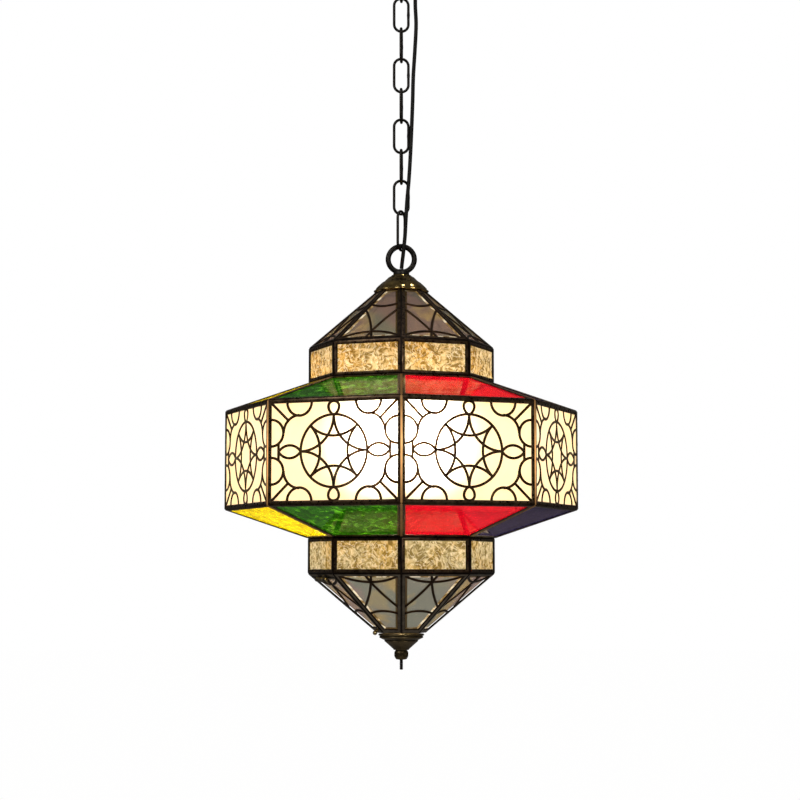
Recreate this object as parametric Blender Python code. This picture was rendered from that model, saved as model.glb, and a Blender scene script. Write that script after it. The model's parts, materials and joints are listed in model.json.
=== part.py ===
"""A hanging eight-sided metal and glass lantern with its chain, cable and ceiling canopy.

Metres, +Z up. The origin is the middle of the face that the ceiling carries, and everything hangs
below it. A corner of the lantern points along -Y. Angles round the lantern are measured from -Y
towards +X, so corner k stands at k * 45 degrees and face k is half a step further.
"""

import math

import bmesh
import bpy
from mathutils import Matrix, Vector

GAP = 0.0003

# Lantern body: corner radius and height from the middle of the wall, from the roof's small end down.
SIDES = 8
BODY_MIDDLE_Z = -0.551
WALL_R = 0.1775
NECK_R = 0.0938
ROOF_TOP = 0.1818
CONE_END = 0.1723
OUTLINE = (
    (0.0130, ROOF_TOP),
    (NECK_R, 0.1134),
    (NECK_R, 0.0780),
    (WALL_R, 0.0500),
    (WALL_R, -0.0500),
    (NECK_R, -0.0780),
    (NECK_R, -0.1134),
    (0.0240, -CONE_END),
)
TIER_INSET = 0.0002

# Thin frames with joined panes behind them, and deep frames whose panes lie in a rebate.
SKIN = 0.0012
GLASS = 0.0019
LIP = 0.0008
DEEP = 0.0030
STRIP = 0.0038
REBATE_STRIP = 0.0026
ROOF_CROWN_STRIP = 0.0175
CONE_TAIL_STRIP = 0.0060
GLASS_LAP = 0.0018

# Ceiling canopy and what hangs from it.
CANOPY_R = 0.045
CANOPY_DEPTH = 0.0235
CANOPY_WALL = 0.0013
BAR_SIZE = (0.072, 0.018, 0.004)
BAR_HOLE_X = 0.026
BAR_HOLE_R = 0.0025
GLAND_X = 0.0150
GLAND_R = 0.0052
GLAND_NECK_R = 0.0034
STEM_R = 0.0075
NIPPLE_R = 0.0048
NIPPLE_BORE = 0.0035

# Chain: link wire, outer size and the rings at its two ends.
WIRE = 0.0030
LINK_H = 0.0380
LINK_W = 0.0176
LAST_LINK_H = 0.0434
LAST_LINK_TURN = math.radians(33)
LINKS = 9
CANOPY_RING_R = 0.0095
CANOPY_RING_WIRE = 0.0040
RING_R = 0.01325
RING_WIRE = 0.0054
RING_Z = BODY_MIDDLE_Z + 0.2045
HUB_R = 0.0081
HUB_TOP = 0.1934
HUB_BOTTOM = 0.1880
LOBE_SEGMENTS = 6
LOBE_DEPTH = 0.09
LOBE_MIDDLE = 0.64
LOBE_START_R = 0.010
LOBE_SPAN = 0.018

# Cable.
CABLE_D = 0.0039
CABLE_ROUTE = (
    (0.0150, 0.0000, -0.0215),
    (0.0150, -0.0002, -0.0400),
    (0.0146, -0.0010, -0.0620),
    (0.0144, -0.0018, -0.0830),
    (0.0152, -0.0026, -0.1040),
    (0.0140, -0.0034, -0.1300),
    (0.0123, -0.0040, -0.1580),
    (0.0116, -0.0044, -0.1840),
    (0.0106, -0.0047, -0.2110),
    (0.0094, -0.0049, -0.2380),
    (0.0078, -0.0051, -0.2650),
    (0.0058, -0.0053, -0.2880),
    (0.0046, -0.0054, -0.3080),
    (0.0038, -0.0056, -0.3230),
    (0.0027, -0.0055, -0.3350),
    (0.0017, -0.0036, -0.3440),
    (0.0008, -0.0013, -0.3510),
    (0.0002, -0.0001, -0.3565),
)
CABLE_STEP = 0.0090

# Lamp.
BULB_R = 0.030
BULB_MIDDLE = 0.015
HOLDER_R = 0.021
HOLDER_BOTTOM = 0.062
HOLDER_TOP = 0.112
SOCKET_R = 0.0135
LAMP_CAP_R = 0.0130
FINIAL_ROD_R = 0.0017
TUBE_NUT_R = 0.0082

# Access door in the cone, its hinge and its turning catch.
DOOR_FACE = 6
DOOR_REVEAL = 0.0020
DOOR_TOP_REVEAL = 0.0048
DOOR_GAP = 0.0004
DOOR_TAPER = 0.0006
DOOR_STRIP = 0.0028
DOOR_TAIL_STRIP = 0.0090
PIN_R = 0.0009
PIN_LIFT = 0.0028
KNUCKLE_R = 0.0021
KNUCKLE_BORE = 0.0012
KNUCKLE_W = 0.0090
KNUCKLE_STEP = 0.0095
CATCH_UP = 0.0050
CATCH_BALL_R = 0.0023
CATCH_BALL_OUT = 0.0034
CATCH_STEM_R = 0.0010
CATCH_COLLAR_R = 0.0019
CATCH_HOLE_R = 0.0013
CAM_SIZE = (0.0070, 0.0032, 0.0011)

COLOURS = {
    "bronze": ((0.105, 0.075, 0.040), 0.42, 0.9),
    "black_steel": ((0.030, 0.027, 0.026), 0.45, 0.8),
    "brass": ((0.300, 0.215, 0.095), 0.32, 1.0),
    "cream_glass": ((0.930, 0.880, 0.700), 0.45, 0.0),
    "amber_glass": ((0.760, 0.560, 0.280), 0.15, 0.0),
    "clear_glass": ((0.620, 0.560, 0.500), 0.08, 0.0),
    "yellow_glass": ((0.900, 0.620, 0.080), 0.15, 0.0),
    "green_glass": ((0.120, 0.400, 0.110), 0.15, 0.0),
    "red_glass": ((0.600, 0.050, 0.045), 0.15, 0.0),
    "blue_glass": ((0.070, 0.070, 0.260), 0.15, 0.0),
    "cable_rubber": ((0.012, 0.012, 0.012), 0.55, 0.0),
    "lampholder": ((0.020, 0.018, 0.017), 0.40, 0.0),
    "lamp": ((0.950, 0.900, 0.780), 0.30, 0.0),
}
SHOULDER_COLOURS = ("red", "blue", "yellow", "green", "red", "blue", "yellow", "green")


# ---------------------------------------------------------------- helpers


def clear_scene():
    for obj in list(bpy.data.objects):
        bpy.data.objects.remove(obj, do_unlink=True)


def material(obj, kind):
    """Each piece has its own material, named after it."""
    colour, roughness, metallic = COLOURS[kind]
    made = bpy.data.materials.new(obj.name)
    made.use_nodes = True
    shader = made.node_tree.nodes["Principled BSDF"]
    shader.inputs["Base Color"].default_value = (*colour, 1)
    shader.inputs["Roughness"].default_value = roughness
    shader.inputs["Metallic"].default_value = metallic
    made.diffuse_color = (*colour, 1)
    obj.data.materials.append(made)


def add(name, bm, kind=None, smooth=True):
    """Turns bmesh data into an object. With no kind it is a cutter or a helper solid."""
    bmesh.ops.recalc_face_normals(bm, faces=bm.faces)
    mesh = bpy.data.meshes.new(name)
    bm.to_mesh(mesh)
    bm.free()
    obj = bpy.data.objects.new(name, mesh)
    bpy.context.scene.collection.objects.link(obj)
    if smooth:
        mesh.shade_smooth()
        mesh.set_sharp_from_angle(angle=math.radians(35))
    if kind:
        material(obj, kind)
    else:
        obj.hide_render = True
        obj.display_type = "WIRE"
    return obj


def boolean(obj, other, operation):
    modifier = obj.modifiers.new(f"{operation.lower()}_{other.name}", "BOOLEAN")
    modifier.operation = operation
    modifier.object = other
    modifier.solver = "EXACT"


def set_origin(obj, point):
    """Moves the object's origin to a point and leaves its surface where it is."""
    obj.data.transform(Matrix.Translation(-Vector(point)))
    obj.location = point


def turned(profile, segments=24, centre=(0, 0)):
    """A solid of revolution about a vertical line, from a closed (radius, height) outline."""
    bm = bmesh.new()
    rings = []
    for radius, height in profile:
        if radius < 1e-6:
            rings.append([bm.verts.new((centre[0], centre[1], height))])
            continue
        ring = []
        for i in range(segments):
            angle = math.tau * i / segments
            at = (centre[0] + radius * math.cos(angle), centre[1] + radius * math.sin(angle), height)
            ring.append(bm.verts.new(at))
        rings.append(ring)
    for low, high in zip(rings, rings[1:] + rings[:1]):
        if len(low) == 1 and len(high) == 1:
            continue
        for i in range(segments):
            j = (i + 1) % segments
            corners = [low[i % len(low)], low[j % len(low)], high[j % len(high)], high[i % len(high)]]
            distinct = list(dict.fromkeys(corners))
            bm.faces.new(distinct)
    return bm


def arc(centre_r, centre_z, radius, start, stop, steps):
    """Points of an arc in the (radius, height) plane, angles in degrees from +radius."""
    points = []
    for i in range(steps + 1):
        angle = math.radians(start + (stop - start) * i / steps)
        points.append((centre_r + radius * math.cos(angle), centre_z + radius * math.sin(angle)))
    return points


def swept_ring(path, radius, sides=8):
    """A closed round wire along a flat closed path in the XZ plane."""
    bm = bmesh.new()
    rings = []
    count = len(path)
    for i, point in enumerate(path):
        ahead = path[(i + 1) % count] - path[i - 1]
        ahead.normalize()
        outward = Vector((ahead.z, 0, -ahead.x))
        ring = []
        for k in range(sides):
            angle = math.tau * (k + 0.5) / sides
            offset = outward * math.cos(angle) + Vector((0, 1, 0)) * math.sin(angle)
            ring.append(bm.verts.new(point + offset * radius))
        rings.append(ring)
    for i in range(count):
        here, there = rings[i], rings[(i + 1) % count]
        for k in range(sides):
            n = (k + 1) % sides
            bm.faces.new((here[k], here[n], there[n], there[k]))
    return bm


def stadium(height, width, steps=7):
    """The centreline of a link: two half circles joined by straight sides, about the origin."""
    radius = width / 2
    straight = height / 2 - radius
    points = []
    for turn, centre in ((0, straight), (math.pi, -straight)):
        for i in range(steps + 1):
            angle = turn + math.pi * i / steps
            points.append(Vector((radius * math.cos(angle), 0, centre + radius * math.sin(angle))))
    return points


def cylinder(name, radius, low, high, segments=16, centre=(0, 0)):
    """A hidden upright cylinder, for cutting a hole."""
    return add(name, turned([(0, low), (radius, low), (radius, high), (0, high)], segments, centre))


def box(size, centre):
    bm = bmesh.new()
    bmesh.ops.create_cube(bm, size=1)
    bmesh.ops.scale(bm, vec=size, verts=bm.verts)
    bmesh.ops.translate(bm, vec=centre, verts=bm.verts)
    return bm


# ---------------------------------------------------------------- eight-sided shells


def normal_of(upper, lower):
    """Outward unit normal of a straight stretch of the outline, in (outward, up) terms."""
    along = (Vector(upper) - Vector(lower)).normalized()
    return Vector((along.y, -along.x))


class Tier:
    """One storey of the lantern, between two neighbouring points of OUTLINE.

    Its solids stay on its own side of the mitre planes that it shares with the tiers next to it.
    """

    def __init__(self, number):
        flat = math.cos(math.pi / SIDES)
        points = [Vector((r * flat, BODY_MIDDLE_Z + h)) for r, h in OUTLINE]
        self.top, self.low = points[number], points[number + 1]
        self.slant = (self.top - self.low).length
        self.along = (self.top - self.low) / self.slant
        self.normal = normal_of(self.top, self.low)
        self.mitres = {
            "top": self.mitre(points[number - 1] if number else None, self.top, above=True),
            "low": self.mitre(points[number + 2] if number + 2 < len(points) else None, self.low),
        }

    def mitre(self, beyond, here, above=False):
        """How far the tier's corner moves for each unit of depth."""
        if beyond is None:
            return Vector((-1 / self.normal.x, 0))
        other = normal_of(beyond, here) if above else normal_of(here, beyond)
        return -(self.normal + other) / (1 + self.normal.dot(other))

    def corner(self, k, level, depth, inset=0.0):
        """Corner k on the surface at a depth, a distance in from the tier's upper or lower end."""
        start = self.top if level == "top" else self.low
        inward = -self.along if level == "top" else self.along
        at = start + self.mitres[level] * depth + inward * inset
        r = at.x / math.cos(math.pi / SIDES)
        angle = math.tau * k / SIDES
        return Vector((r * math.sin(angle), -r * math.cos(angle), at.y))

    def radius(self, z, depth):
        """Corner radius at a height, on the surface at a depth."""
        share = (z - self.low.y) / (self.top.y - self.low.y)
        apothem = self.low.x + (self.top.x - self.low.x) * share - depth / self.normal.x
        return apothem / math.cos(math.pi / SIDES)

    def axes(self, k):
        """Middle of face k's lower edge, and its sideways, up-slope and outward directions."""
        angle = math.tau * (k + 0.5) / SIDES
        out = Vector((math.sin(angle), -math.cos(angle), 0))
        side = Vector((math.cos(angle), math.sin(angle), 0))
        base = out * self.low.x + Vector((0, 0, self.low.y))
        up = out * self.along.x + Vector((0, 0, self.along.y))
        return base, side, up, side.cross(up)

    def point(self, k, u, v, out=0.0):
        base, side, up, normal = self.axes(k)
        return base + side * u + up * v + normal * out

    def half_width(self, v):
        """Half the width of a face at a distance v up its slope."""
        return math.tan(math.pi / SIDES) * (self.low.x + (self.top.x - self.low.x) * v / self.slant)

    def trapezoid(self, side_strip, low_strip, top_strip):
        """(u, v) corners of a face less its border strips, anticlockwise from lower left."""
        lean = (self.half_width(0) - self.half_width(self.slant)) / self.slant
        inset = side_strip * math.hypot(1, lean)
        low, high = low_strip, self.slant - top_strip
        a, b = self.half_width(low) - inset, self.half_width(high) - inset
        return [(-a, low), (a, low), (b, high), (-b, high)]


def frame_ring(tier, steps):
    """The frame of a tier. steps lists, from the outer surface in, a depth and the (u, v) corners
    of each face's window there."""
    bm = bmesh.new()
    depths = (0.0, steps[-1][0])
    edge = {}
    for k in range(SIDES):
        for level in ("low", "top"):
            for depth in depths:
                edge[k, level, depth] = bm.verts.new(tier.corner(k, level, depth, TIER_INSET))
    for k in range(SIDES):
        n = (k + 1) % SIDES
        holes = []
        for depth, windows in steps:
            holes.append([bm.verts.new(tier.point(k, u, v, -depth)) for u, v in windows[k]])
        for depth, hole in zip(depths, (holes[0], holes[-1])):
            places = ((k, "low"), (n, "low"), (n, "top"), (k, "top"))
            rim = [edge[i, level, depth] for i, level in places]
            for i in range(4):
                j = (i + 1) % 4
                bm.faces.new((rim[i], rim[j], hole[j], hole[i]))
        for outer, inner in zip(holes, holes[1:]):
            for i in range(4):
                j = (i + 1) % 4
                bm.faces.new((outer[i], outer[j], inner[j], inner[i]))
        for level in ("low", "top"):
            a, b = depths
            corners = ((k, a), (n, a), (n, b), (k, b))
            bm.faces.new([edge[i, level, depth] for i, depth in corners])
    return bm


def glass_ring(tier, low_inset, top_inset, faces=range(SIDES)):
    """Joined panes behind a thin frame, as one strip round the given faces."""
    bm = bmesh.new()
    depths = (SKIN + GAP, SKIN + GAP + GLASS)
    whole = len(faces) == SIDES
    corners = list(faces) + ([] if whole else [(faces[-1] + 1) % SIDES])
    rows = []
    for k in corners:
        ends = (("low", low_inset), ("top", top_inset))
        places = [tier.corner(k, level, d, inset) for level, inset in ends for d in depths]
        rows.append([bm.verts.new(place) for place in places])
    pairs = zip(rows, rows[1:] + rows[:1]) if whole else zip(rows, rows[1:])
    for here, there in pairs:
        for i, j in ((0, 1), (1, 3), (3, 2), (2, 0)):
            bm.faces.new((here[i], here[j], there[j], there[i]))
    if not whole:
        for row in (rows[0], rows[-1]):
            bm.faces.new((row[0], row[1], row[3], row[2]))
    return bm


def plate(tier, k, outline, outer, inner):
    """A flat plate in face k with the given (u, v) outline, between two depths."""
    bm = bmesh.new()
    fronts = [bm.verts.new(tier.point(k, u, v, -outer)) for u, v in outline]
    backs = [bm.verts.new(tier.point(k, u, v, -inner)) for u, v in outline]
    count = len(outline)
    for i in range(count):
        j = (i + 1) % count
        bm.faces.new((fronts[i], fronts[j], backs[j], backs[i]))
    bm.faces.new(fronts)
    bm.faces.new(backs)
    return bm


ROOF, UPPER_NECK, UPPER_SHOULDER, WALL, LOWER_SHOULDER, LOWER_NECK, CONE = (
    Tier(number) for number in range(len(OUTLINE) - 1)
)


# ---------------------------------------------------------------- ceiling fitting


def ceiling_fitting():
    bar = add("mounting_bar", box(BAR_SIZE, (0, 0, -BAR_SIZE[2] / 2)), "black_steel", smooth=False)
    for side in (-1, 1):
        hole = cylinder(f"bar_hole_{side}", BAR_HOLE_R, -0.01, 0.01, 16, (side * BAR_HOLE_X, 0))
        boolean(bar, hole, "DIFFERENCE")

    floor_z = -CANOPY_DEPTH
    bend = 0.016
    outer = [(CANOPY_R, -GAP)]
    outer += arc(CANOPY_R - bend, floor_z + bend, bend, 0, -90, 4)
    inner = arc(CANOPY_R - bend, floor_z + bend, bend - CANOPY_WALL, -90, 0, 4)
    inner += [(CANOPY_R - CANOPY_WALL, -GAP)]
    hole = NIPPLE_R + GAP
    profile = outer + [(hole, floor_z), (hole, floor_z + CANOPY_WALL)] + inner
    canopy = add("ceiling_canopy", turned(profile, 28), "bronze")
    low, high = floor_z - 0.003, floor_z + 0.004
    gland_hole = cylinder("gland_hole", GLAND_NECK_R + GAP, low, high, 12, (GLAND_X, 0))
    boolean(canopy, gland_hole, "DIFFERENCE")

    bore = CABLE_D / 2 + GAP
    low, shoulder, high = floor_z - 0.0070, floor_z - 0.0045, floor_z + 0.0060
    gland = [
        (bore, low),
        (GLAND_NECK_R, low),
        (GLAND_R, shoulder),
        (GLAND_R, floor_z - GAP),
        (GLAND_NECK_R, floor_z - GAP),
        (GLAND_NECK_R, high),
        (bore, high),
    ]
    add("canopy_gland", turned(gland, 16, (GLAND_X, 0)), "brass")


def canopy_loop():
    """Threaded stem through the canopy, with a collar and a ring for the first link."""
    ring_z = first_pivot_z() + CANOPY_RING_R
    stem = [
        (0, ring_z + CANOPY_RING_R - 0.0005),
        (STEM_R, ring_z + CANOPY_RING_R + 0.0005),
        (STEM_R, -CANOPY_DEPTH - GAP),
        (NIPPLE_R, -CANOPY_DEPTH - GAP),
        (NIPPLE_R, -BAR_SIZE[2] - GAP),
        (0, -BAR_SIZE[2] - GAP),
    ]
    ring = swept_ring(circle(CANOPY_RING_R, ring_z, 20), CANOPY_RING_WIRE / 2)
    obj = add("canopy_loop", ring, "black_steel")
    boolean(obj, add("canopy_stem", turned(stem, 20)), "UNION")


def circle(radius, z, steps):
    points = []
    for i in range(steps):
        angle = math.tau * (i + 0.5) / steps
        points.append(Vector((radius * math.cos(angle), 0, z + radius * math.sin(angle))))
    return points


# ---------------------------------------------------------------- chain


def bar_clearance(wire):
    """Between the middles of two wires that bear on each other."""
    return (wire + WIRE) / 2 + GAP


def link_height(number):
    return LAST_LINK_H if number == 1 else LINK_H


def link_centre_z(number):
    """Links count up from the lantern: link 1 holds the lantern's ring."""
    z = RING_Z + RING_R - bar_clearance(RING_WIRE) + (LAST_LINK_H - WIRE) / 2
    for k in range(2, number + 1):
        z += (link_height(k - 1) + link_height(k)) / 2 - WIRE - bar_clearance(WIRE)
    return z


def first_pivot_z():
    """Middle of the canopy ring's lowest wire, which the top link hangs on."""
    return link_centre_z(LINKS) + (LINK_H - WIRE) / 2 - bar_clearance(CANOPY_RING_WIRE)


def link_turn(number):
    """Turn about Z from the XZ plane. Links alternate, and the last one has twisted a little."""
    if number == 1:
        return math.radians(90) - LAST_LINK_TURN
    return math.radians(90) if number % 2 else 0.0


def link_pivot_z(number):
    """The link swings on the lowest wire of what is above it."""
    if number == LINKS:
        return first_pivot_z()
    return link_centre_z(number + 1) - (link_height(number + 1) - WIRE) / 2


def chain():
    for number in range(LINKS, 0, -1):
        path = stadium(link_height(number) - WIRE, LINK_W - WIRE)
        bm = swept_ring(path, WIRE / 2)
        bmesh.ops.rotate(bm, verts=bm.verts, matrix=Matrix.Rotation(link_turn(number), 3, "Z"))
        bmesh.ops.translate(bm, verts=bm.verts, vec=(0, 0, link_centre_z(number)))
        link = add(f"chain_link_{number}", bm, "black_steel")
        set_origin(link, (0, 0, link_pivot_z(number)))


def hanging_loop():
    """Cast ring on a round hub. The cable goes down through the hub into the tube below."""
    top, bottom = BODY_MIDDLE_Z + HUB_TOP, BODY_MIDDLE_Z + HUB_BOTTOM
    hub = [(0, bottom), (HUB_R, bottom), (HUB_R, top - 0.001), (HUB_R - 0.001, top), (0, top)]
    obj = add("hanging_loop", swept_ring(circle(RING_R, RING_Z, 24), RING_WIRE / 2), "black_steel")
    boolean(obj, add("loop_hub", turned(hub, 24)), "UNION")
    way = cylinder("loop_way", CABLE_D / 2 + GAP, bottom - 0.01, RING_Z - 0.004, 12)
    pocket = cylinder("loop_pocket", NIPPLE_R + GAP, bottom - 0.01, bottom + 0.0030, 16)
    boolean(obj, way, "DIFFERENCE")
    boolean(obj, pocket, "DIFFERENCE")
    set_origin(obj, (0, 0, link_centre_z(1) - (LAST_LINK_H - WIRE) / 2))


def catmull_rom(points, per_span):
    """A smooth curve through the points."""
    ends = [2 * points[0] - points[1], *points, 2 * points[-1] - points[-2]]
    curve = []
    for a, b, c, d in zip(ends, ends[1:], ends[2:], ends[3:]):
        for i in range(per_span):
            t = i / per_span
            square = (2 * a - 5 * b + 4 * c - d) * t**2
            cube = (3 * b - a - 3 * c + d) * t**3
            curve.append((2 * b + (c - a) * t + square + cube) / 2)
    curve.append(points[-1])
    return curve


def evenly_spaced(points, step):
    lengths = [0.0]
    for a, b in zip(points, points[1:]):
        lengths.append(lengths[-1] + (b - a).length)
    count = round(lengths[-1] / step)
    chosen, i = [], 0
    for n in range(count + 1):
        at = lengths[-1] * n / count
        while i < len(points) - 2 and lengths[i + 1] < at:
            i += 1
        share = (at - lengths[i]) / (lengths[i + 1] - lengths[i])
        chosen.append(points[i].lerp(points[i + 1], share))
    return chosen


def cable():
    route = [Vector(p) for p in CABLE_ROUTE]
    points = evenly_spaced(catmull_rom(route, 12), CABLE_STEP)
    curve = bpy.data.curves.new("power_cable", "CURVE")
    curve.dimensions = "3D"
    curve.bevel_depth = CABLE_D / 2
    curve.bevel_resolution = 2
    curve.use_fill_caps = True
    spline = curve.splines.new("POLY")
    spline.points.add(len(points) - 1)
    for place, point in zip(spline.points, points):
        place.co = (*point, 1)
    obj = bpy.data.objects.new("power_cable", curve)
    bpy.context.scene.collection.objects.link(obj)
    material(obj, "cable_rubber")


# ---------------------------------------------------------------- lamp and caps


def heights(profile):
    """Profile heights are given from the middle of the wall."""
    return [(r, BODY_MIDDLE_Z + h) for r, h in profile]


def lamp():
    top = HUB_BOTTOM + 0.0030 - GAP
    nut_top = ROOF_TOP - 0.0038
    tube = [
        (NIPPLE_BORE, HOLDER_TOP - 0.009),
        (NIPPLE_R, HOLDER_TOP - 0.009),
        (NIPPLE_R, nut_top - 0.004),
        (TUBE_NUT_R, nut_top - 0.004),
        (TUBE_NUT_R, nut_top),
        (NIPPLE_R, nut_top),
        (NIPPLE_R, top),
        (NIPPLE_BORE, top),
    ]
    add("support_tube", turned(heights(tube), 16), "black_steel")

    skirt = HOLDER_R - 0.004
    holder = [
        (SOCKET_R, HOLDER_BOTTOM),
        (HOLDER_R, HOLDER_BOTTOM),
        (HOLDER_R, HOLDER_BOTTOM + 0.016),
        (skirt, HOLDER_BOTTOM + 0.019),
        (skirt, HOLDER_TOP - 0.008),
        (0.009, HOLDER_TOP),
        (NIPPLE_R + GAP, HOLDER_TOP),
        (NIPPLE_R + GAP, HOLDER_TOP - 0.006),
        (SOCKET_R, HOLDER_TOP - 0.012),
    ]
    add("lampholder", turned(heights(holder), 24), "lampholder")

    cap_top = HOLDER_BOTTOM + 0.026
    neck = math.degrees(math.asin(0.0145 / BULB_R))
    globe = arc(0, BULB_MIDDLE, BULB_R, -90, 90 - neck - 24, 9)
    globe[0] = (0, BULB_MIDDLE - BULB_R)
    bulb = globe + [
        (0.0165, HOLDER_BOTTOM - 0.011),
        (LAMP_CAP_R, HOLDER_BOTTOM - 0.002),
        (LAMP_CAP_R, cap_top - 0.006),
        (0.006, cap_top),
        (0, cap_top),
    ]
    add("bulb", turned(heights(bulb), 24), "lamp")


def top_cap():
    """Bell over the roof's small end, with a lobe over each hip of the roof."""
    top, low = HUB_BOTTOM - GAP, ROOF_TOP + GAP
    hole = NIPPLE_R + GAP
    outer = [(hole, top), (0.0104, top), (0.0126, 0.1856), (0.0168, 0.1812), (0.0206, 0.1784)]
    outer += [(0.0243, 0.1746), (0.0271, 0.1712)]
    inner = [(0.0269, 0.1700), (0.0236, 0.1728), (0.0199, 0.1764), (0.0161, 0.1797)]
    inner += [(0.0136, low), (hole, low)]
    bm = turned(heights(outer + inner), 8 * LOBE_SEGMENTS)
    for vert in bm.verts:
        radius = math.hypot(vert.co.x, vert.co.y)
        crest = abs(math.cos(4 * math.atan2(vert.co.x, vert.co.y))) - LOBE_MIDDLE
        growth = max(0, (radius - LOBE_START_R) / LOBE_SPAN)
        swell = 1 + LOBE_DEPTH * growth * crest
        vert.co.x *= swell
        vert.co.y *= swell
    add("top_cap", bm, "brass")


def caps():
    rim_top = -CONE_END - GAP
    rim_low = rim_top - 0.0048
    tip = rim_top - 0.0160
    shell = 0.0016
    bore = FINIAL_ROD_R + GAP
    outer = [(0.0224, rim_top), (0.0228, rim_top - 0.0022), (0.0215, rim_low)]
    outer += [(0.0185, rim_low - 0.0008), (0.0130, tip + 0.0052), (0.0080, tip + 0.0008)]
    outer += [(0.0076, tip)]
    inner = [(bore, tip), (bore, tip + shell), (0.0060, tip + shell), (0.0120, tip + 0.0065)]
    inner += [(0.0175, rim_low + 0.0006), (0.0200, rim_top)]
    add("bottom_cap", turned(heights(outer + inner), 24), "bronze")

    ball_top = tip - GAP
    ball_low = ball_top - 0.0092
    middle = (ball_top + ball_low) / 2
    stem = FINIAL_ROD_R
    finial = [(0, tip + 0.0060), (stem, tip + 0.0060), (stem, ball_top), (0.0060, ball_top)]
    finial += [(0.0070, middle + 0.0022), (0.0070, middle - 0.0014), (0.0054, ball_low + 0.0008)]
    finial += [(stem, ball_low), (stem, ball_low - 0.0100), (0, ball_low - 0.0100)]
    add("finial", turned(heights(finial), 20), "bronze")


# ---------------------------------------------------------------- lantern body


def crown_plate():
    """Plate that closes the roof's small end, with a hole for the tube."""
    bm = bmesh.new()
    levels = []
    for z in (ROOF.top.y - 0.0035, ROOF.top.y - 0.0006):
        rings = []
        for radius in (NIPPLE_R + 0.0008, ROOF.radius(z, SKIN / 2)):
            angles = [math.tau * k / SIDES for k in range(SIDES)]
            rings.append([bm.verts.new((radius * math.sin(a), -radius * math.cos(a), z)) for a in angles])
        levels.append(rings)
    for k in range(SIDES):
        n = (k + 1) % SIDES
        for rings in levels:
            bm.faces.new((rings[0][k], rings[0][n], rings[1][n], rings[1][k]))
        for i in (0, 1):
            bm.faces.new((levels[0][i][k], levels[0][i][n], levels[1][i][n], levels[1][i][k]))
    return add("crown_plate", bm)


def thin_frame(name, tier, low_strip=STRIP, top_strip=STRIP):
    windows = [tier.trapezoid(STRIP, low_strip, top_strip)] * SIDES
    return add(name, frame_ring(tier, [(0, windows), (SKIN, windows)]), "bronze", smooth=False)


def deep_frame(name, tier):
    """A frame with a rebate on its inner side, which holds eight loose panes."""
    lip = [tier.trapezoid(STRIP, STRIP, STRIP)] * SIDES
    rebate = [tier.trapezoid(REBATE_STRIP, REBATE_STRIP, REBATE_STRIP)] * SIDES
    steps = [(0, lip), (LIP, lip), (LIP, rebate), (DEEP, rebate)]
    add(name, frame_ring(tier, steps), "bronze", smooth=False)


def pane(tier, k):
    strip = REBATE_STRIP + GAP
    return plate(tier, k, tier.trapezoid(strip, strip, strip), LIP + GAP, LIP + GAP + GLASS)


def body():
    roof = thin_frame("roof_frame", ROOF, STRIP, ROOF_CROWN_STRIP)
    boolean(roof, crown_plate(), "UNION")
    crown_edge = ROOF_CROWN_STRIP - GLASS_LAP
    add("roof_glass", glass_ring(ROOF, STRIP - GLASS_LAP, crown_edge), "clear_glass", False)

    edge = STRIP - GLASS_LAP
    for name, tier in (("upper_neck", UPPER_NECK), ("lower_neck", LOWER_NECK)):
        thin_frame(f"{name}_frame", tier)
        add(f"{name}_glass", glass_ring(tier, edge, edge), "amber_glass", False)

    deep_frame("upper_shoulder_frame", UPPER_SHOULDER)
    deep_frame("wall_frame", WALL)
    deep_frame("lower_shoulder_frame", LOWER_SHOULDER)
    for k in range(SIDES):
        colour = f"{SHOULDER_COLOURS[k]}_glass"
        add(f"upper_shoulder_glass_{k + 1}", pane(UPPER_SHOULDER, k), colour, False)
        add(f"wall_glass_{k + 1}", pane(WALL, k), "cream_glass", False)
        add(f"lower_shoulder_glass_{k + 1}", pane(LOWER_SHOULDER, k), colour, False)


# ---------------------------------------------------------------- cone with its door


def on_face(name, bm, kind=None):
    """Places a shape built in (sideways, up-slope, outward) axes on the door's face."""
    base, side, up, normal = CONE.axes(DOOR_FACE)
    turn = Matrix((side, up, normal)).transposed().to_4x4()
    bmesh.ops.transform(bm, verts=bm.verts, matrix=Matrix.Translation(base) @ turn)
    return add(name, bm, kind)


def tube_along_u(radius, u, half, v, out, segments=12):
    bm = turned([(0, -half), (radius, -half), (radius, half), (0, half)], segments)
    bmesh.ops.rotate(bm, verts=bm.verts, matrix=Matrix.Rotation(math.radians(90), 3, "Y"))
    bmesh.ops.translate(bm, verts=bm.verts, vec=(u, v, out))
    return bm


def knuckle(obj, label, u, side):
    """A hinge knuckle on a leaf. side is 1 above the pin, on the cone, and -1 on the door."""
    v = hinge_v()
    half = KNUCKLE_W / 2
    leaf = box((2 * half - 0.0004, 0.0034, 0.0024), (u, v + side * 0.0021, 0.0004))
    boolean(obj, on_face(f"{label}_leaf", leaf), "UNION")
    barrel = tube_along_u(KNUCKLE_R, u, half, v, PIN_LIFT)
    boolean(obj, on_face(f"{label}_barrel", barrel), "UNION")


def hinge_v():
    """The pin lies over the gap between the door's upper edge and the cone's frame."""
    return CONE.slant - DOOR_TOP_REVEAL - DOOR_GAP / 2


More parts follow.
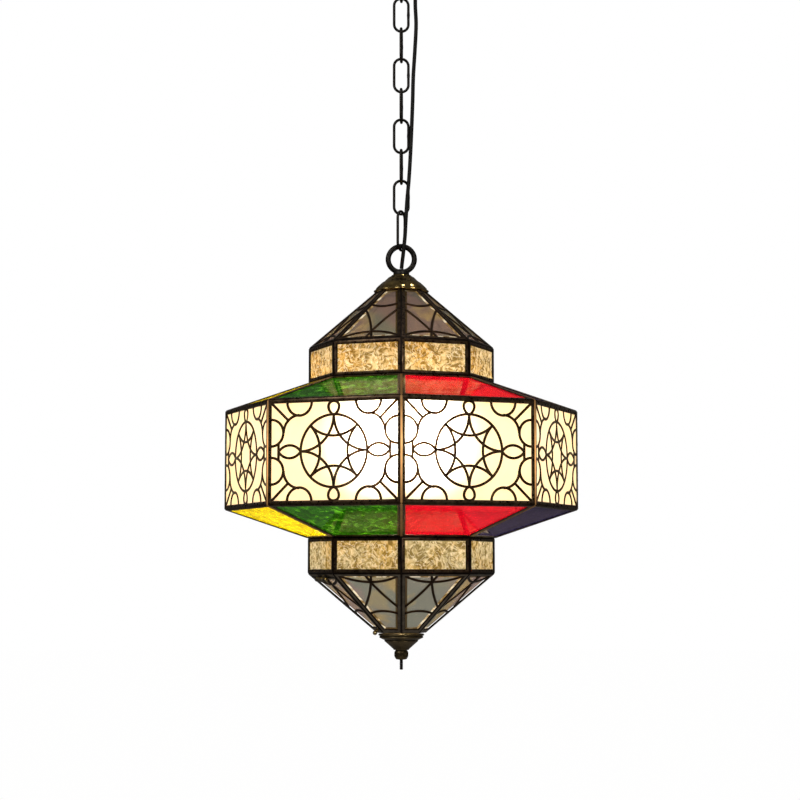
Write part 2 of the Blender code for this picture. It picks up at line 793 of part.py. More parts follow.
def cone():
    windows = [CONE.trapezoid(STRIP, CONE_TAIL_STRIP, STRIP)] * SIDES
    windows[DOOR_FACE] = CONE.trapezoid(DOOR_REVEAL, DOOR_REVEAL, DOOR_TOP_REVEAL)
    shell = frame_ring(CONE, [(0, windows), (SKIN, windows)])
    frame = add("cone_frame", shell, "bronze", smooth=False)
    faces = [(DOOR_FACE + 1 + i) % SIDES for i in range(SIDES - 1)]
    panes = glass_ring(CONE, CONE_TAIL_STRIP - GLASS_LAP, STRIP - GLASS_LAP, faces)
    add("cone_glass", panes, "clear_glass", False)

    edge = DOOR_REVEAL + DOOR_GAP
    outline = CONE.trapezoid(edge, edge, DOOR_TOP_REVEAL + DOOR_GAP)
    for i, sign in ((2, -1), (3, 1)):
        u, v = outline[i]
        outline[i] = (u + sign * DOOR_TAPER, v)
    leaf = plate(CONE, DOOR_FACE, outline, 0, SKIN)
    door = add("door_frame", leaf, "bronze", smooth=False)
    strip = edge + DOOR_STRIP
    top_strip = DOOR_TOP_REVEAL + DOOR_GAP + DOOR_STRIP
    hole = CONE.trapezoid(strip, DOOR_TAIL_STRIP, top_strip)
    opening = add("door_opening", plate(CONE, DOOR_FACE, hole, -0.002, SKIN + 0.002))
    boolean(door, opening, "DIFFERENCE")
    bore = on_face("hinge_bore", tube_along_u(KNUCKLE_BORE, 0, 0.03, hinge_v(), PIN_LIFT))
    knuckle(door, "middle", 0, -1)
    for side in (-1, 1):
        knuckle(frame, f"outer_{side}", side * KNUCKLE_STEP, 1)
    for obj in (door, frame):
        boolean(obj, bore, "DIFFERENCE")

    lap = strip - GLASS_LAP
    inner = CONE.trapezoid(lap, DOOR_TAIL_STRIP - 0.0015, top_strip - GLASS_LAP)
    glass = plate(CONE, DOOR_FACE, inner, SKIN + GAP, SKIN + GAP + GLASS)
    door_glass = add("door_glass", glass, "clear_glass", False)
    pin = tube_along_u(PIN_R, 0, 0.0145, hinge_v(), PIN_LIFT, 10)
    hinge_pin = on_face("hinge_pin", pin, "brass")
    for obj in (door, door_glass, hinge_pin):
        set_origin(obj, CONE.point(DOOR_FACE, 0, hinge_v(), PIN_LIFT))

    door_catch(door)


def door_catch(door):
    """A knob on the door's tail. Its cam is parked sideways and turns down behind the cone's frame."""
    bore = [(0, -0.005), (CATCH_HOLE_R, -0.005), (CATCH_HOLE_R, 0.005), (0, 0.005)]
    hole = turned(bore, 10)
    bmesh.ops.translate(hole, verts=hole.verts, vec=(0, CATCH_UP, 0))
    boolean(door, on_face("catch_hole", hole), "DIFFERENCE")

    cam_out = -SKIN - 0.0004
    stem = CATCH_STEM_R
    knob = [(0, cam_out - 0.0016), (stem, cam_out - 0.0016), (stem, 0.0006)]
    knob += [(CATCH_COLLAR_R, 0.0006), (CATCH_COLLAR_R, 0.0012), (stem, 0.0014)]
    knob += arc(0, CATCH_BALL_OUT, CATCH_BALL_R, -50, 90, 5)
    knob[-1] = (0, CATCH_BALL_OUT + CATCH_BALL_R)
    bm = turned(knob, 12)
    bmesh.ops.translate(bm, verts=bm.verts, vec=(0, CATCH_UP, 0))
    catch = on_face("door_catch", bm, "brass")
    cam = box(CAM_SIZE, (0.0022, CATCH_UP, cam_out - 0.00065))
    boolean(catch, on_face("catch_cam", cam), "UNION")
    set_origin(catch, CONE.point(DOOR_FACE, 0, CATCH_UP))


def main():
    clear_scene()
    ceiling_fitting()
    canopy_loop()
    chain()
    hanging_loop()
    cable()
    lamp()
    top_cap()
    caps()
    body()
    cone()


main()
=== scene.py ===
"""Looks for the hanging eight-sided lantern: its detailed pieces, materials, light and camera.

Metres, +Z up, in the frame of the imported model. Corners of the lantern stand at multiples of 45
degrees from -Y towards +X, and face k lies between corners k and k + 1.
"""

import json
import math

import bmesh
import bpy
from mathutils import Matrix, Vector, noise


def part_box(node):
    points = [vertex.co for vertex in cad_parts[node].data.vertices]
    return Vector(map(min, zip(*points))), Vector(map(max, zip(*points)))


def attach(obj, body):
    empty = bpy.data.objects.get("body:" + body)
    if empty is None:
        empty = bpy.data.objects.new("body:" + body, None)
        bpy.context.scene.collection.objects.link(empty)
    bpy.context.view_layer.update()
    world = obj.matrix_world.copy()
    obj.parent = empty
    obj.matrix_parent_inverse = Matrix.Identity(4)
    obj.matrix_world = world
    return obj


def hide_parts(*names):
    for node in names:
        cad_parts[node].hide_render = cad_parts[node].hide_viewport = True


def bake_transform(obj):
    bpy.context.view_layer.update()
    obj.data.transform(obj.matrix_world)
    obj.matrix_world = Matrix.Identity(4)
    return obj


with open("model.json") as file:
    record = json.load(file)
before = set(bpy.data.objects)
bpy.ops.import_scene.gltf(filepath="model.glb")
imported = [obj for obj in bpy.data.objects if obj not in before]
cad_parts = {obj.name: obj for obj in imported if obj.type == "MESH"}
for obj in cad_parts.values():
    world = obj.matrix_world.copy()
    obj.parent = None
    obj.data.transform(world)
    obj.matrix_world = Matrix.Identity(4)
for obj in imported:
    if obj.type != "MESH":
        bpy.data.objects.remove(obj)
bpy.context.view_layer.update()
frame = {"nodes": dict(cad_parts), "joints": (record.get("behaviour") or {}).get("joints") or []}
NODES = frame["nodes"]
MM = 0.001
SIDES = 8
WHITE = (1, 1, 1, 1)
FLAT = math.cos(math.pi / SIDES)
TAN_HALF = math.tan(math.pi / SIDES)

# ---------------------------------------------------------------- places read from the frame


def points_of(node):
    return [v.co.copy() for v in NODES[node].data.vertices]


def flat_radius(point):
    return math.hypot(point.x, point.y)


def outer_edge(node):
    """Corner radius of an upright storey and the heights of its lower and upper edge."""
    points = points_of(node)
    radius = max(flat_radius(p) for p in points)
    heights = [p.z for p in points if flat_radius(p) > radius - 0.1 * MM]
    return radius, min(heights), max(heights)


def small_end(node, top):
    """Corner radius and height of a sloping storey's small end."""
    points = points_of(node)
    z = max(p.z for p in points) if top else min(p.z for p in points)
    return max(flat_radius(p) for p in points if abs(p.z - z) < 0.1 * MM), z


WALL_R, WALL_LOW, WALL_TOP = outer_edge("wall_frame")
NECK_R, UPPER_NECK_LOW, UPPER_NECK_TOP = outer_edge("upper_neck_frame")
_, LOWER_NECK_LOW, LOWER_NECK_TOP = outer_edge("lower_neck_frame")
ROOF_END = small_end("roof_frame", top=True)
CONE_END = small_end("cone_frame", top=False)
MIDDLE_Z = (WALL_LOW + WALL_TOP) / 2
JOINTS = {j["name"]: j for j in frame["joints"]}


# ---------------------------------------------------------------- camera, lights, floor

CAMERA_ASIDE = -0.0013
CAMERA_BELOW_MIDDLE = 0.110
CAMERA_DISTANCE = 1.825
CAMERA_PITCH = math.radians(5.35)
SENSOR_MM = 36
LENS_MM = 81.9
VIEW_END = 200
FLOOR_Z = MIDDLE_Z - 1.25
FLOOR_R = 25.0


def camera():
    data = bpy.data.cameras.new("camera")
    data.sensor_width = SENSOR_MM
    data.lens = LENS_MM
    data.clip_end = VIEW_END
    obj = bpy.data.objects.new("camera", data)
    obj.location = (CAMERA_ASIDE, -CAMERA_DISTANCE, MIDDLE_Z - CAMERA_BELOW_MIDDLE)
    obj.rotation_euler = (math.radians(90) + CAMERA_PITCH, 0, 0)
    bpy.context.scene.collection.objects.link(obj)
    bpy.context.scene.camera = obj


def area_light(name, place, aim, size, watts, colour, mirrored=False):
    data = bpy.data.lights.new(name, "AREA")
    data.shape = "DISK"
    data.size = size
    data.energy = watts
    data.color = colour
    obj = bpy.data.objects.new(name, data)
    obj.location = place
    obj.rotation_mode = "QUATERNION"
    obj.rotation_quaternion = (Vector(aim) - Vector(place)).to_track_quat("-Z", "Y")
    obj.visible_camera = False
    obj.visible_glossy = mirrored
    bpy.context.scene.collection.objects.link(obj)


def node(tree, kind, inputs=None, **settings):
    """Adds a node. A socket among its inputs is linked, and any other value is set."""
    made = tree.nodes.new(kind)
    for key, value in settings.items():
        setattr(made, key, value)
    for key, value in (inputs or {}).items():
        socket = made.inputs[key]
        if isinstance(value, bpy.types.NodeSocket):
            tree.links.new(value, socket)
        else:
            socket.default_value = value
    return made


def seen_directly(tree):
    """1 where the camera looks at the surroundings with no pane in between."""
    ray = node(tree, "ShaderNodeLightPath")
    depth = {0: ray.outputs["Transparent Depth"], 1: 0.5}
    bare = node(tree, "ShaderNodeMath", depth, operation="LESS_THAN")
    both = {0: ray.outputs["Is Camera Ray"], 1: bare.outputs[0]}
    return node(tree, "ShaderNodeMath", both, operation="MULTIPLY").outputs[0]


def surroundings():
    """White where the camera looks straight at it, and a soft warm grey as light and reflection."""
    world = bpy.data.worlds.new("studio")
    world.use_nodes = True
    tree = world.node_tree
    tree.nodes.clear()
    seen = seen_directly(tree)
    coords = node(tree, "ShaderNodeTexCoord")
    height = node(tree, "ShaderNodeSeparateXYZ", {0: coords.outputs["Generated"]})
    ramp = node(tree, "ShaderNodeValToRGB", {0: height.outputs["Z"]})
    ramp.color_ramp.elements[0].color = (0.070, 0.060, 0.050, 1)
    ramp.color_ramp.elements[1].color = (0.150, 0.145, 0.140, 1)
    soft = node(tree, "ShaderNodeBackground", {"Color": ramp.outputs[0], "Strength": 1.0})
    white = node(tree, "ShaderNodeBackground", {"Color": WHITE, "Strength": 1.0})
    share = {0: seen, 1: soft.outputs[0], 2: white.outputs[0]}
    mixed = node(tree, "ShaderNodeMixShader", share)
    node(tree, "ShaderNodeOutputWorld", {"Surface": mixed.outputs[0]})
    bpy.context.scene.world = world


def floor():
    bm = bmesh.new()
    bmesh.ops.create_circle(bm, cap_ends=True, segments=96, radius=FLOOR_R)
    mesh = bpy.data.meshes.new("floor")
    bm.to_mesh(mesh)
    bm.free()
    obj = bpy.data.objects.new("floor", mesh)
    obj.location = (0, 0, FLOOR_Z)
    bpy.context.scene.collection.objects.link(obj)
    material = bpy.data.materials.new("floor")
    material.use_nodes = True
    tree = material.node_tree
    tree.nodes.clear()
    seen = seen_directly(tree)
    matte = node(tree, "ShaderNodeBsdfDiffuse", {"Color": (0.42, 0.40, 0.38, 1)})
    white = node(tree, "ShaderNodeEmission", {"Color": (0.996, 0.995, 0.994, 1)})
    share = {0: seen, 1: matte.outputs[0], 2: white.outputs[0]}
    mixed = node(tree, "ShaderNodeMixShader", share)
    node(tree, "ShaderNodeOutputMaterial", {"Surface": mixed.outputs[0]})
    mesh.materials.append(material)


def studio():
    camera()
    surroundings()
    floor()
    aim = (0, 0, MIDDLE_Z)
    area_light("key", (-1.5, -1.6, MIDDLE_Z + 1.3), aim, 1.1, 26, (1.0, 0.97, 0.93), True)
    area_light("fill", (1.8, -1.1, MIDDLE_Z + 0.5), aim, 1.3, 12, (0.97, 0.98, 1.0))
    area_light("glint", (0.75, -1.9, MIDDLE_Z + 0.35), aim, 0.3, 9, (1.0, 0.96, 0.88), True)
    area_light("top", (0.35, -0.55, MIDDLE_Z + 1.7), aim, 0.35, 9, (1.0, 0.97, 0.92), True)
    area_light("low", (-0.3, -1.5, MIDDLE_Z - 1.1), aim, 0.8, 8, (1.0, 0.97, 0.92))
    area_light("back", (0.5, 1.9, MIDDLE_Z + 1.2), aim, 1.0, 12, (1.0, 0.98, 0.95))
    bpy.context.scene.view_settings.view_transform = "Standard"


# ---------------------------------------------------------------- materials

# A Mix node has sockets named A, B and Result for every kind of value. These are its colours'.
MIX_A = 6
MIX_B = 7
MIX_RESULT = 2


class Material:
    """A node material in the making, with textures in the piece's own coordinates in metres."""

    def __init__(self, name):
        self.material = bpy.data.materials.new(name)
        self.material.use_nodes = True
        self.tree = self.material.node_tree
        self.tree.nodes.clear()
        coords = node(self.tree, "ShaderNodeTexCoord")
        self.place = coords.outputs["Object"]

    def add(self, kind, inputs=None, output=0, **settings):
        return node(self.tree, kind, inputs, **settings).outputs[output]

    def noise(self, size, detail=3.0, rough=0.55, distortion=0.0):
        """Noise whose features are about this size."""
        inputs = {"Vector": self.place, "Scale": 1 / size, "Detail": detail}
        inputs.update({"Roughness": rough, "Distortion": distortion})
        return self.add("ShaderNodeTexNoise", inputs)

    def ramp(self, value, *stops):
        """Colours or greys at given places along a value."""
        made = node(self.tree, "ShaderNodeValToRGB", {0: value})
        elements = made.color_ramp.elements
        while len(elements) < len(stops):
            elements.new(0.5)
        for element, (place, colour) in zip(elements, stops):
            element.position = place
            if isinstance(colour, (int, float)):
                colour = (colour,) * 3
            element.color = (*colour, 1)
        return made.outputs[0]

    def blend(self, share, a, b, mode="MIX"):
        made = node(self.tree, "ShaderNodeMix", {0: share}, data_type="RGBA", blend_type=mode)
        for index, value in ((MIX_A, a), (MIX_B, b)):
            if isinstance(value, bpy.types.NodeSocket):
                self.tree.links.new(value, made.inputs[index])
            else:
                made.inputs[index].default_value = (*value, 1)
        return made.outputs[MIX_RESULT]

    def maths(self, operation, a, b=0.0):
        return self.add("ShaderNodeMath", {0: a, 1: b}, operation=operation)

    def bump(self, height, distance, strength):
        inputs = {"Height": height, "Distance": distance, "Strength": strength}
        return self.add("ShaderNodeBump", inputs)

    def mix(self, share, a, b):
        return self.add("ShaderNodeMixShader", {0: share, 1: a, 2: b})

    def join(self, a, b):
        return self.add("ShaderNodeAddShader", {0: a, 1: b})

    def done(self, shader):
        node(self.tree, "ShaderNodeOutputMaterial", {"Surface": shader})
        return self.material


def metal(name, dark, light, rough=(0.3, 0.5), metallic=0.9, wear=0.35):
    """Aged metal: patches of two tones and fine grain, with its edges worn bright."""
    m = Material(name)
    patches = m.noise(9 * MM, 4, 0.6, 0.4)
    fine = m.noise(0.7 * MM, 2)
    edge = m.add("ShaderNodeNewGeometry", output="Pointiness")
    worn = m.ramp(edge, (0.505, 0.0), (0.56, wear))
    bright = tuple(min(1.0, c * 2.1 + 0.02) for c in light)
    inputs = {
        "Base Color": m.blend(worn, m.ramp(patches, (0.34, dark), (0.72, light)), bright),
        "Metallic": metallic,
        "Roughness": m.ramp(m.noise(4 * MM, 3), (0.3, rough[0]), (0.7, rough[1])),
        "Normal": m.bump(fine, 0.06 * MM, 0.5),
    }
    return m.done(m.add("ShaderNodeBsdfPrincipled", inputs))


def glass_faces(m, through, gloss_rough, normal=None, reflect=1.40):
    """Finishes a pane: puts a glossy outer side over what shows through it. A ray that is already
    inside the pane leaves it unchanged, so a pane acts once on each ray that crosses it."""
    gloss_inputs = {"Color": WHITE, "Roughness": gloss_rough}
    fresnel_inputs = {"IOR": reflect}
    if normal:
        gloss_inputs["Normal"] = fresnel_inputs["Normal"] = normal
    gloss = m.add("ShaderNodeBsdfGlossy", gloss_inputs)
    share = m.maths("MULTIPLY", m.add("ShaderNodeFresnel", fresnel_inputs), 0.6)
    seen = m.mix(share, through, gloss)
    inside = m.add("ShaderNodeNewGeometry", output="Backfacing")
    clear = m.add("ShaderNodeBsdfTransparent", {"Color": WHITE})
    return m.done(m.mix(inside, seen, clear))


def glowing_glass(m, clear_tint, tone, scatter, strength):
    """What shows through a pane that lets some light straight through and scatters the rest, with a
    little painted glow: an emission that stands for the lamp's light lit up in the glass."""
    clear = m.add("ShaderNodeBsdfTransparent", {"Color": clear_tint})
    body = m.add("ShaderNodeBsdfTranslucent", {"Color": tone})
    # painted glow: this emission stands for lamp light that the pane would scatter, not light of its
    # own
    own = m.add("ShaderNodeEmission", {"Color": tone, "Strength": strength})
    return m.join(m.mix(scatter, clear, body), own)


def frosted_glass(name, tint, glow, strength, spread):
    """Frosted pane: light from behind is spread into a soft glow, strongest round the lamp, over an
    even painted glow.
    """
    m = Material(name)
    cloud = m.ramp(m.noise(28 * MM, 3), (0.3, 0.0), (0.7, 1.0))
    tone = m.blend(cloud, tint, tuple(c * 0.93 for c in tint))
    grit = m.bump(m.noise(0.35 * MM, 2), 0.03 * MM, 0.4)
    refraction = {"Color": (1.0, 0.95, 0.84, 1), "Roughness": spread, "IOR": 1.45, "Normal": grit}
    forward = m.add("ShaderNodeBsdfRefraction", refraction)
    body = m.add("ShaderNodeBsdfTranslucent", {"Color": tone})
    # painted glow: an even emission that stands for the lamp's light scattered in the frost
    own = m.add("ShaderNodeEmission", {"Color": (*glow, 1), "Strength": strength})
    return glass_faces(m, m.join(m.mix(0.5, body, forward), own), 0.22, grit, 1.45)


def coloured_glass(name, tint, lit, strength, depth=0.55):
    """Smooth coloured pane with slight waves, and lighter streaks in the melt."""
    m = Material(name)
    streak = m.noise(9 * MM, 4, 0.6, 1.2)
    waves = m.bump(m.noise(7 * MM, 2, 0.5, 0.5), 0.3 * MM, 0.4)
    deep = tuple(c * depth for c in tint)
    tone = m.ramp(streak, (0.40, deep), (0.54, tint), (0.70, lit))
    return glass_faces(m, glowing_glass(m, tone, tone, 0.28, strength), 0.05, waves)


def hammered_glass(name, dark, light):
    """Amber pane with a crinkled surface. Its bright facets are painted highlights: lighter patches in
    the crinkle and glints along its folds.
    """
    scatter, strength = 0.30, 0.58
    m = Material(name)
    crinkle = m.noise(8 * MM, 2, 0.5, 1.8)
    # The lightest tone of the crinkle is painted highlight, standing for light that the facets catch.
    pale = (min(1, light[0] * 1.45), min(1, light[1] * 1.5), min(1, light[2] * 1.9))
    base = m.ramp(crinkle, (0.42, dark), (0.52, light), (0.62, pale))
    deeper = m.blend(1.0, base, (1.0, 0.80, 0.42), "MULTIPLY")
    base = m.blend(m.ramp(m.noise(38 * MM, 2), (0.44, 0.0), (0.62, 0.9)), base, deeper)
    # painted glints: a light warm line along each fold of the veins
    veins = m.noise(13 * MM, 2, 0.5, 2.2)
    fold = m.maths("ABSOLUTE", m.maths("SUBTRACT", veins, 0.5))
    glint = m.ramp(fold, (0.0, 0.75), (0.014, 0.35), (0.045, 0.0))
    tone = m.blend(glint, base, (1.0, 0.86, 0.58))
    clear_tint = m.blend(0.7, tone, (0, 0, 0))
    shape = m.bump(crinkle, 0.5 * MM, 0.6)
    return glass_faces(m, glowing_glass(m, clear_tint, tone, scatter, strength), 0.16, shape, 1.36)


def clear_glass(name, tint, strength):
    """Clear pane, slightly smoked and dusty inside, with amber light lying across parts of it."""
    scatter = 0.10
    m = Material(name)
    green = (tint[0] * 0.90, tint[1] * 1.04, tint[2] * 0.96)
    mauve = (tint[0] * 1.10, tint[1] * 0.95, tint[2] * 0.98)
    tone = m.ramp(m.noise(70 * MM, 2, 0.5, 0.8), (0.42, green), (0.56, mauve))
    amber = m.ramp(m.noise(34 * MM, 2, 0.5, 1.0), (0.50, 0.0), (0.64, 0.75))
    lit = m.blend(amber, tone, (0.62, 0.44, 0.17))
    waves = m.bump(m.noise(16 * MM, 2), 0.25 * MM, 0.25)
    return glass_faces(m, glowing_glass(m, tone, lit, scatter, strength), 0.06, waves)


def ground_bevel(name, tint, strength):
    """Ground edge of a clear pane. It carries light along the pane, most where it slopes
    sideways, and only there does the light break into streaks."""
    m = Material(name)
    facing = m.add("ShaderNodeNewGeometry", output="Normal")
    across = m.maths("ABSOLUTE", m.add("ShaderNodeSeparateXYZ", {0: facing}))
    slope = m.ramp(across, (0.14, 0.14), (0.36, 1.0), (0.58, 1.0), (0.72, 0.12))
    dark, even = tuple(c * 0.30 for c in tint), tuple(c * 0.62 for c in tint)
    streak = m.noise(13 * MM, 3, 0.6, 1.0)
    broken = m.ramp(streak, (0.38, dark), (0.48, tint), (0.57, (1.0, 0.88, 0.62)))
    tone = m.blend(m.ramp(slope, (0.16, 0.0), (0.70, 1.0)), even, broken)
    clear = m.add("ShaderNodeBsdfTransparent", {"Color": m.blend(0.5, tone, (0.1, 0.1, 0.1))})
    light = {"Color": tone, "Strength": m.maths("MULTIPLY", slope, strength)}
    return glass_faces(m, m.join(clear, m.add("ShaderNodeEmission", light)), 0.1)


def black_plastic(name, tones, rough, patches, grain, relief, specular=0.5):
    """Black plastic with faint patches and a fine grain. patches is their size and detail."""
    m = Material(name)
    fine = m.noise(grain, 3)
    inputs = {
        "Base Color": m.ramp(m.noise(*patches), (0.35, tones[0]), (0.7, tones[1])),
        "Roughness": m.ramp(fine, (0.3, rough[0]), (0.7, rough[1])),
        "Specular IOR Level": specular,
        "Normal": m.bump(fine, relief, 0.4),
    }
    return m.done(m.add("ShaderNodeBsdfPrincipled", inputs))


def lamp_glow(name, strength):
    m = Material(name)
    soft = m.ramp(m.noise(20 * MM, 2), (0.3, (1.0, 0.86, 0.62)), (0.7, (1.0, 0.90, 0.70)))
    return m.done(m.add("ShaderNodeEmission", {"Color": soft, "Strength": strength}))


def thin_bar(name, dark, light):
    """Bronze of the tracery. The bars are so thin that a little of a strong light gets round them."""
    m = Material(name)
    inputs = {
        "Base Color": m.ramp(m.noise(9 * MM, 4, 0.6, 0.4), (0.34, dark), (0.72, light)),
        "Metallic": 0.9,
        "Roughness": m.ramp(m.noise(4 * MM, 3), (0.3, 0.34), (0.7, 0.52)),
    }
    solid = m.add("ShaderNodeBsdfPrincipled", inputs)
    round_it = m.add("ShaderNodeBsdfTransparent", {"Color": (1.0, 0.62, 0.30, 1)})
    return m.done(m.mix(0.07, solid, round_it))


def lit_seam(name, dark, light):
    """The groove down a corner post, where some of the lamp's light comes through the joint. It is
    strongest at the height of the lamp."""
    m = Material(name)
    height = m.add("ShaderNodeSeparateXYZ", {0: m.place}, output=2)
    off = m.maths("ABSOLUTE", m.maths("SUBTRACT", height, MIDDLE_Z))
    fade = m.ramp(m.maths("DIVIDE", off, 54 * MM), (0.20, 1.0), (1.0, 0.10))
    colour = m.ramp(m.noise(6 * MM, 3), (0.3, dark), (0.7, light))
    metal_inputs = {"Base Color": colour, "Metallic": 0.9, "Roughness": 0.35}
    solid = m.add("ShaderNodeBsdfPrincipled", metal_inputs)
    glow_inputs = {"Color": (1.0, 0.52, 0.18, 1), "Strength": m.maths("MULTIPLY", fade, 0.75)}
    return m.done(m.join(solid, m.add("ShaderNodeEmission", glow_inputs)))


BRONZE = metal("dark_bronze", (0.026, 0.014, 0.008), (0.095, 0.064, 0.036), (0.22, 0.40), wear=0.0)
TRACERY = thin_bar("tracery_bronze", (0.016, 0.008, 0.004), (0.050, 0.028, 0.012))
LIT_SEAM = lit_seam("lit_seam", (0.16, 0.085, 0.035), (0.30, 0.17, 0.07))
# Near-black bronze on the seam grooves and rounded edges of the thin strips, the cone's and the door's.
DARK_EDGE = metal("near_black_edge", (0.007, 0.004, 0.003), (0.022, 0.014, 0.010), (0.40, 0.60), wear=0.0)
# painted light: a lighter copy of the bronze for the cone and its door, which face down; it stands for
# the floor's light that they reflect
FLOOR_LIT_BRONZE = metal("bronze_with_painted_floor_light", (0.075, 0.062, 0.046), (0.180, 0.158, 0.122), (0.26, 0.42), wear=0.0)
CROWN = metal("crown_bronze", (0.035, 0.026, 0.012), (0.110, 0.084, 0.040), (0.26, 0.42))
BRASS = metal("antique_brass", (0.120, 0.085, 0.035), (0.420, 0.320, 0.150), (0.18, 0.34), 1.0)
AGED_BRASS = metal("aged_brass", (0.100, 0.068, 0.022), (0.400, 0.290, 0.110), (0.12, 0.26), 1.0)
STEEL = metal("black_steel", (0.006, 0.005, 0.005), (0.020, 0.018, 0.016), (0.34, 0.52), 0.85, wear=0.2)
# Each glass below carries a painted glow, an emission that stands for the lamp's light in it.
CREAM = frosted_glass("cream_glass", (0.97, 0.84, 0.58), (0.90, 0.66, 0.37), 0.44, 0.60)
AMBER = hammered_glass("amber_glass", (0.240, 0.150, 0.045), (0.49, 0.34, 0.135))
PALE_AMBER = hammered_glass("pale_amber_glass", (0.25, 0.180, 0.070), (0.48, 0.38, 0.180))
CLEAR = clear_glass("clear_glass", (0.34, 0.300, 0.275), 0.36)
SMOKED = clear_glass("smoked_glass", (0.27, 0.222, 0.180), 0.34)
CLEAR_BEVEL = ground_bevel("bevel_glass", (0.42, 0.26, 0.09), 0.85)
RED = coloured_glass("red_glass", (0.58, 0.003, 0.014), (0.66, 0.006, 0.020), 0.62, 0.84)
BLUE = coloured_glass("blue_glass", (0.026, 0.021, 0.075), (0.050, 0.040, 0.12), 0.40)
YELLOW = coloured_glass("yellow_glass", (0.98, 0.72, 0.004), (1.0, 0.90, 0.02), 0.95)
GREEN = coloured_glass("green_glass", (0.014, 0.100, 0.002), (0.09, 0.40, 0.008), 0.60)
CABLE = black_plastic(
    "cable_sheath",
    tones=((0.004, 0.004, 0.004), (0.010, 0.010, 0.009)),
    rough=(0.50, 0.66),
    patches=(12 * MM, 3),
    grain=0.6 * MM,
    relief=0.04 * MM,
    specular=0.12,
)
HOLDER = black_plastic(
    "moulded_black",
    tones=((0.014, 0.013, 0.012), (0.030, 0.028, 0.026)),
    rough=(0.32, 0.45),
    patches=(14 * MM, 2),
    grain=0.8 * MM,
    relief=0.05 * MM,
)
LAMP = lamp_glow("lamp_glow", 52)
SHOULDER_GLASS = {"red": RED, "blue": BLUE, "yellow": YELLOW, "green": GREEN}
SHOULDER_COLOURS = ("red", "blue", "yellow", "green") * 2


# ---------------------------------------------------------------- making pieces

# An arc that should end on the axis ends at least this close to it.
ON_AXIS = 1e-7


def piece(name, bm, material, body=None, replaces=(), sharp=35, second=None):
    """Turns bmesh data into a piece that rides on a body. Its faces with index 1 take a second
    material."""
    bmesh.ops.recalc_face_normals(bm, faces=bm.faces)
    mesh = bpy.data.meshes.new(name)
    bm.to_mesh(mesh)
    bm.free()
    mesh.shade_smooth()
    mesh.set_sharp_from_angle(angle=math.radians(sharp))
    obj = bpy.data.objects.new(name, mesh)
    bpy.context.scene.collection.objects.link(obj)
    mesh.materials.append(material)
    if second:
        mesh.materials.append(second)
    if body:
        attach(obj, body)
    if replaces:
        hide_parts(*replaces)
    return obj


def repaint(node_name, material):
    """Gives a CAD node that stays in view a better material."""
    obj = NODES[node_name]
    obj.data.materials.clear()
    obj.data.materials.append(material)


def lathe(bm, profile, segments=64, axis_at=(0, 0)):
    """A solid of revolution about a vertical line. The (radius, height) outline is closed, or it
    starts and ends on the axis."""
    rings = []
    for radius, height in profile:
        if radius < ON_AXIS:
            rings.append([bm.verts.new((axis_at[0], axis_at[1], height))])
            continue
        ring = []
        for i in range(segments):
            a = math.tau * i / segments
            at = (axis_at[0] + radius * math.cos(a), axis_at[1] + radius * math.sin(a), height)
            ring.append(bm.verts.new(at))
        rings.append(ring)
    for low, high in zip(rings, rings[1:] + rings[:1]):
        if len(low) == 1 and len(high) == 1:
            continue
        for i in range(segments):
            j = (i + 1) % segments
            corners = [low[i % len(low)], low[j % len(low)], high[j % len(high)], high[i % len(high)]]
            bm.faces.new(list(dict.fromkeys(corners)))
    return bm


def turned_arc(centre_r, centre_z, radius, start, stop, steps=8):
    """Points of an arc in the (radius, height) plane, angles in degrees from outwards."""
    points = []
    for i in range(steps + 1):
        a = math.radians(start + (stop - start) * i / steps)
        points.append((centre_r + radius * math.cos(a), centre_z + radius * math.sin(a)))
    return points


def softened(profile, radius, steps=3):
    """The closed outline with each corner cut by a small curve."""
    points = [Vector(p) for p in profile]
    out = []
    for i, point in enumerate(points):
        before, after = points[i - 1] - point, points[(i + 1) % len(points)] - point
        cut = min(radius, before.length * 0.45, after.length * 0.45)
        a, b = point + before.normalized() * cut, point + after.normalized() * cut
        for n in range(steps + 1):
            t = n / steps
            out.append(tuple(a * (1 - t) ** 2 + point * 2 * t * (1 - t) + b * t * t))
    return out


def outline_from(z, *points):
    """Points of an outline given in millimetres: radius, and height above z."""
    return [(r * MM, z + h * MM) for r, h in points]


def thread(radius, depth, pitch, z, count, per_turn):
    """Ridges of a screw in outline: count points from z upwards, round a middle radius."""
    points = []
    for i in range(count):
        swell = depth * math.cos(math.tau * i / per_turn)
        points.append((radius + swell, z + i * pitch / per_turn))
    return points


def widen(vert, scale):
    """Moves a vertex away from the lantern's axis."""
    vert.co.x *= scale
    vert.co.y *= scale


def join_rings(bm, rings, closed):
    """Faces between rings of vertices, as one list for each pair of rings. An open row of rings
    also gets a face over each end."""
    sheets = []
    for here, there in list(zip(rings, rings[1:])) + ([(rings[-1], rings[0])] if closed else []):
        sheet = []
        for k in range(len(here)):
            n = (k + 1) % len(here)
            sheet.append(bm.faces.new((here[k], here[n], there[n], there[k])))
        sheets.append(sheet)
    if not closed:
        bm.faces.new(rings[0])
        bm.faces.new(rings[-1])
    return sheets


def tube(bm, path, radius, sides, closed=False):
    """A round wire along a path."""
    count = len(path)
    rings = []
    reference = Vector((0, 1, 0))
    for i, point in enumerate(path):
        if closed:
            ahead = path[(i + 1) % count] - path[i - 1]
        else:
            ahead = path[min(i + 1, count - 1)] - path[max(i - 1, 0)]
        ahead.normalize()
        across = (reference - ahead * reference.dot(ahead)).normalized()
        third = ahead.cross(across)
        ring = []
        for k in range(sides):
            a = math.tau * k / sides
            spoke = across * math.cos(a) + third * math.sin(a)
            ring.append(bm.verts.new(point + spoke * radius))
        rings.append(ring)
    join_rings(bm, rings, closed)
    return bm


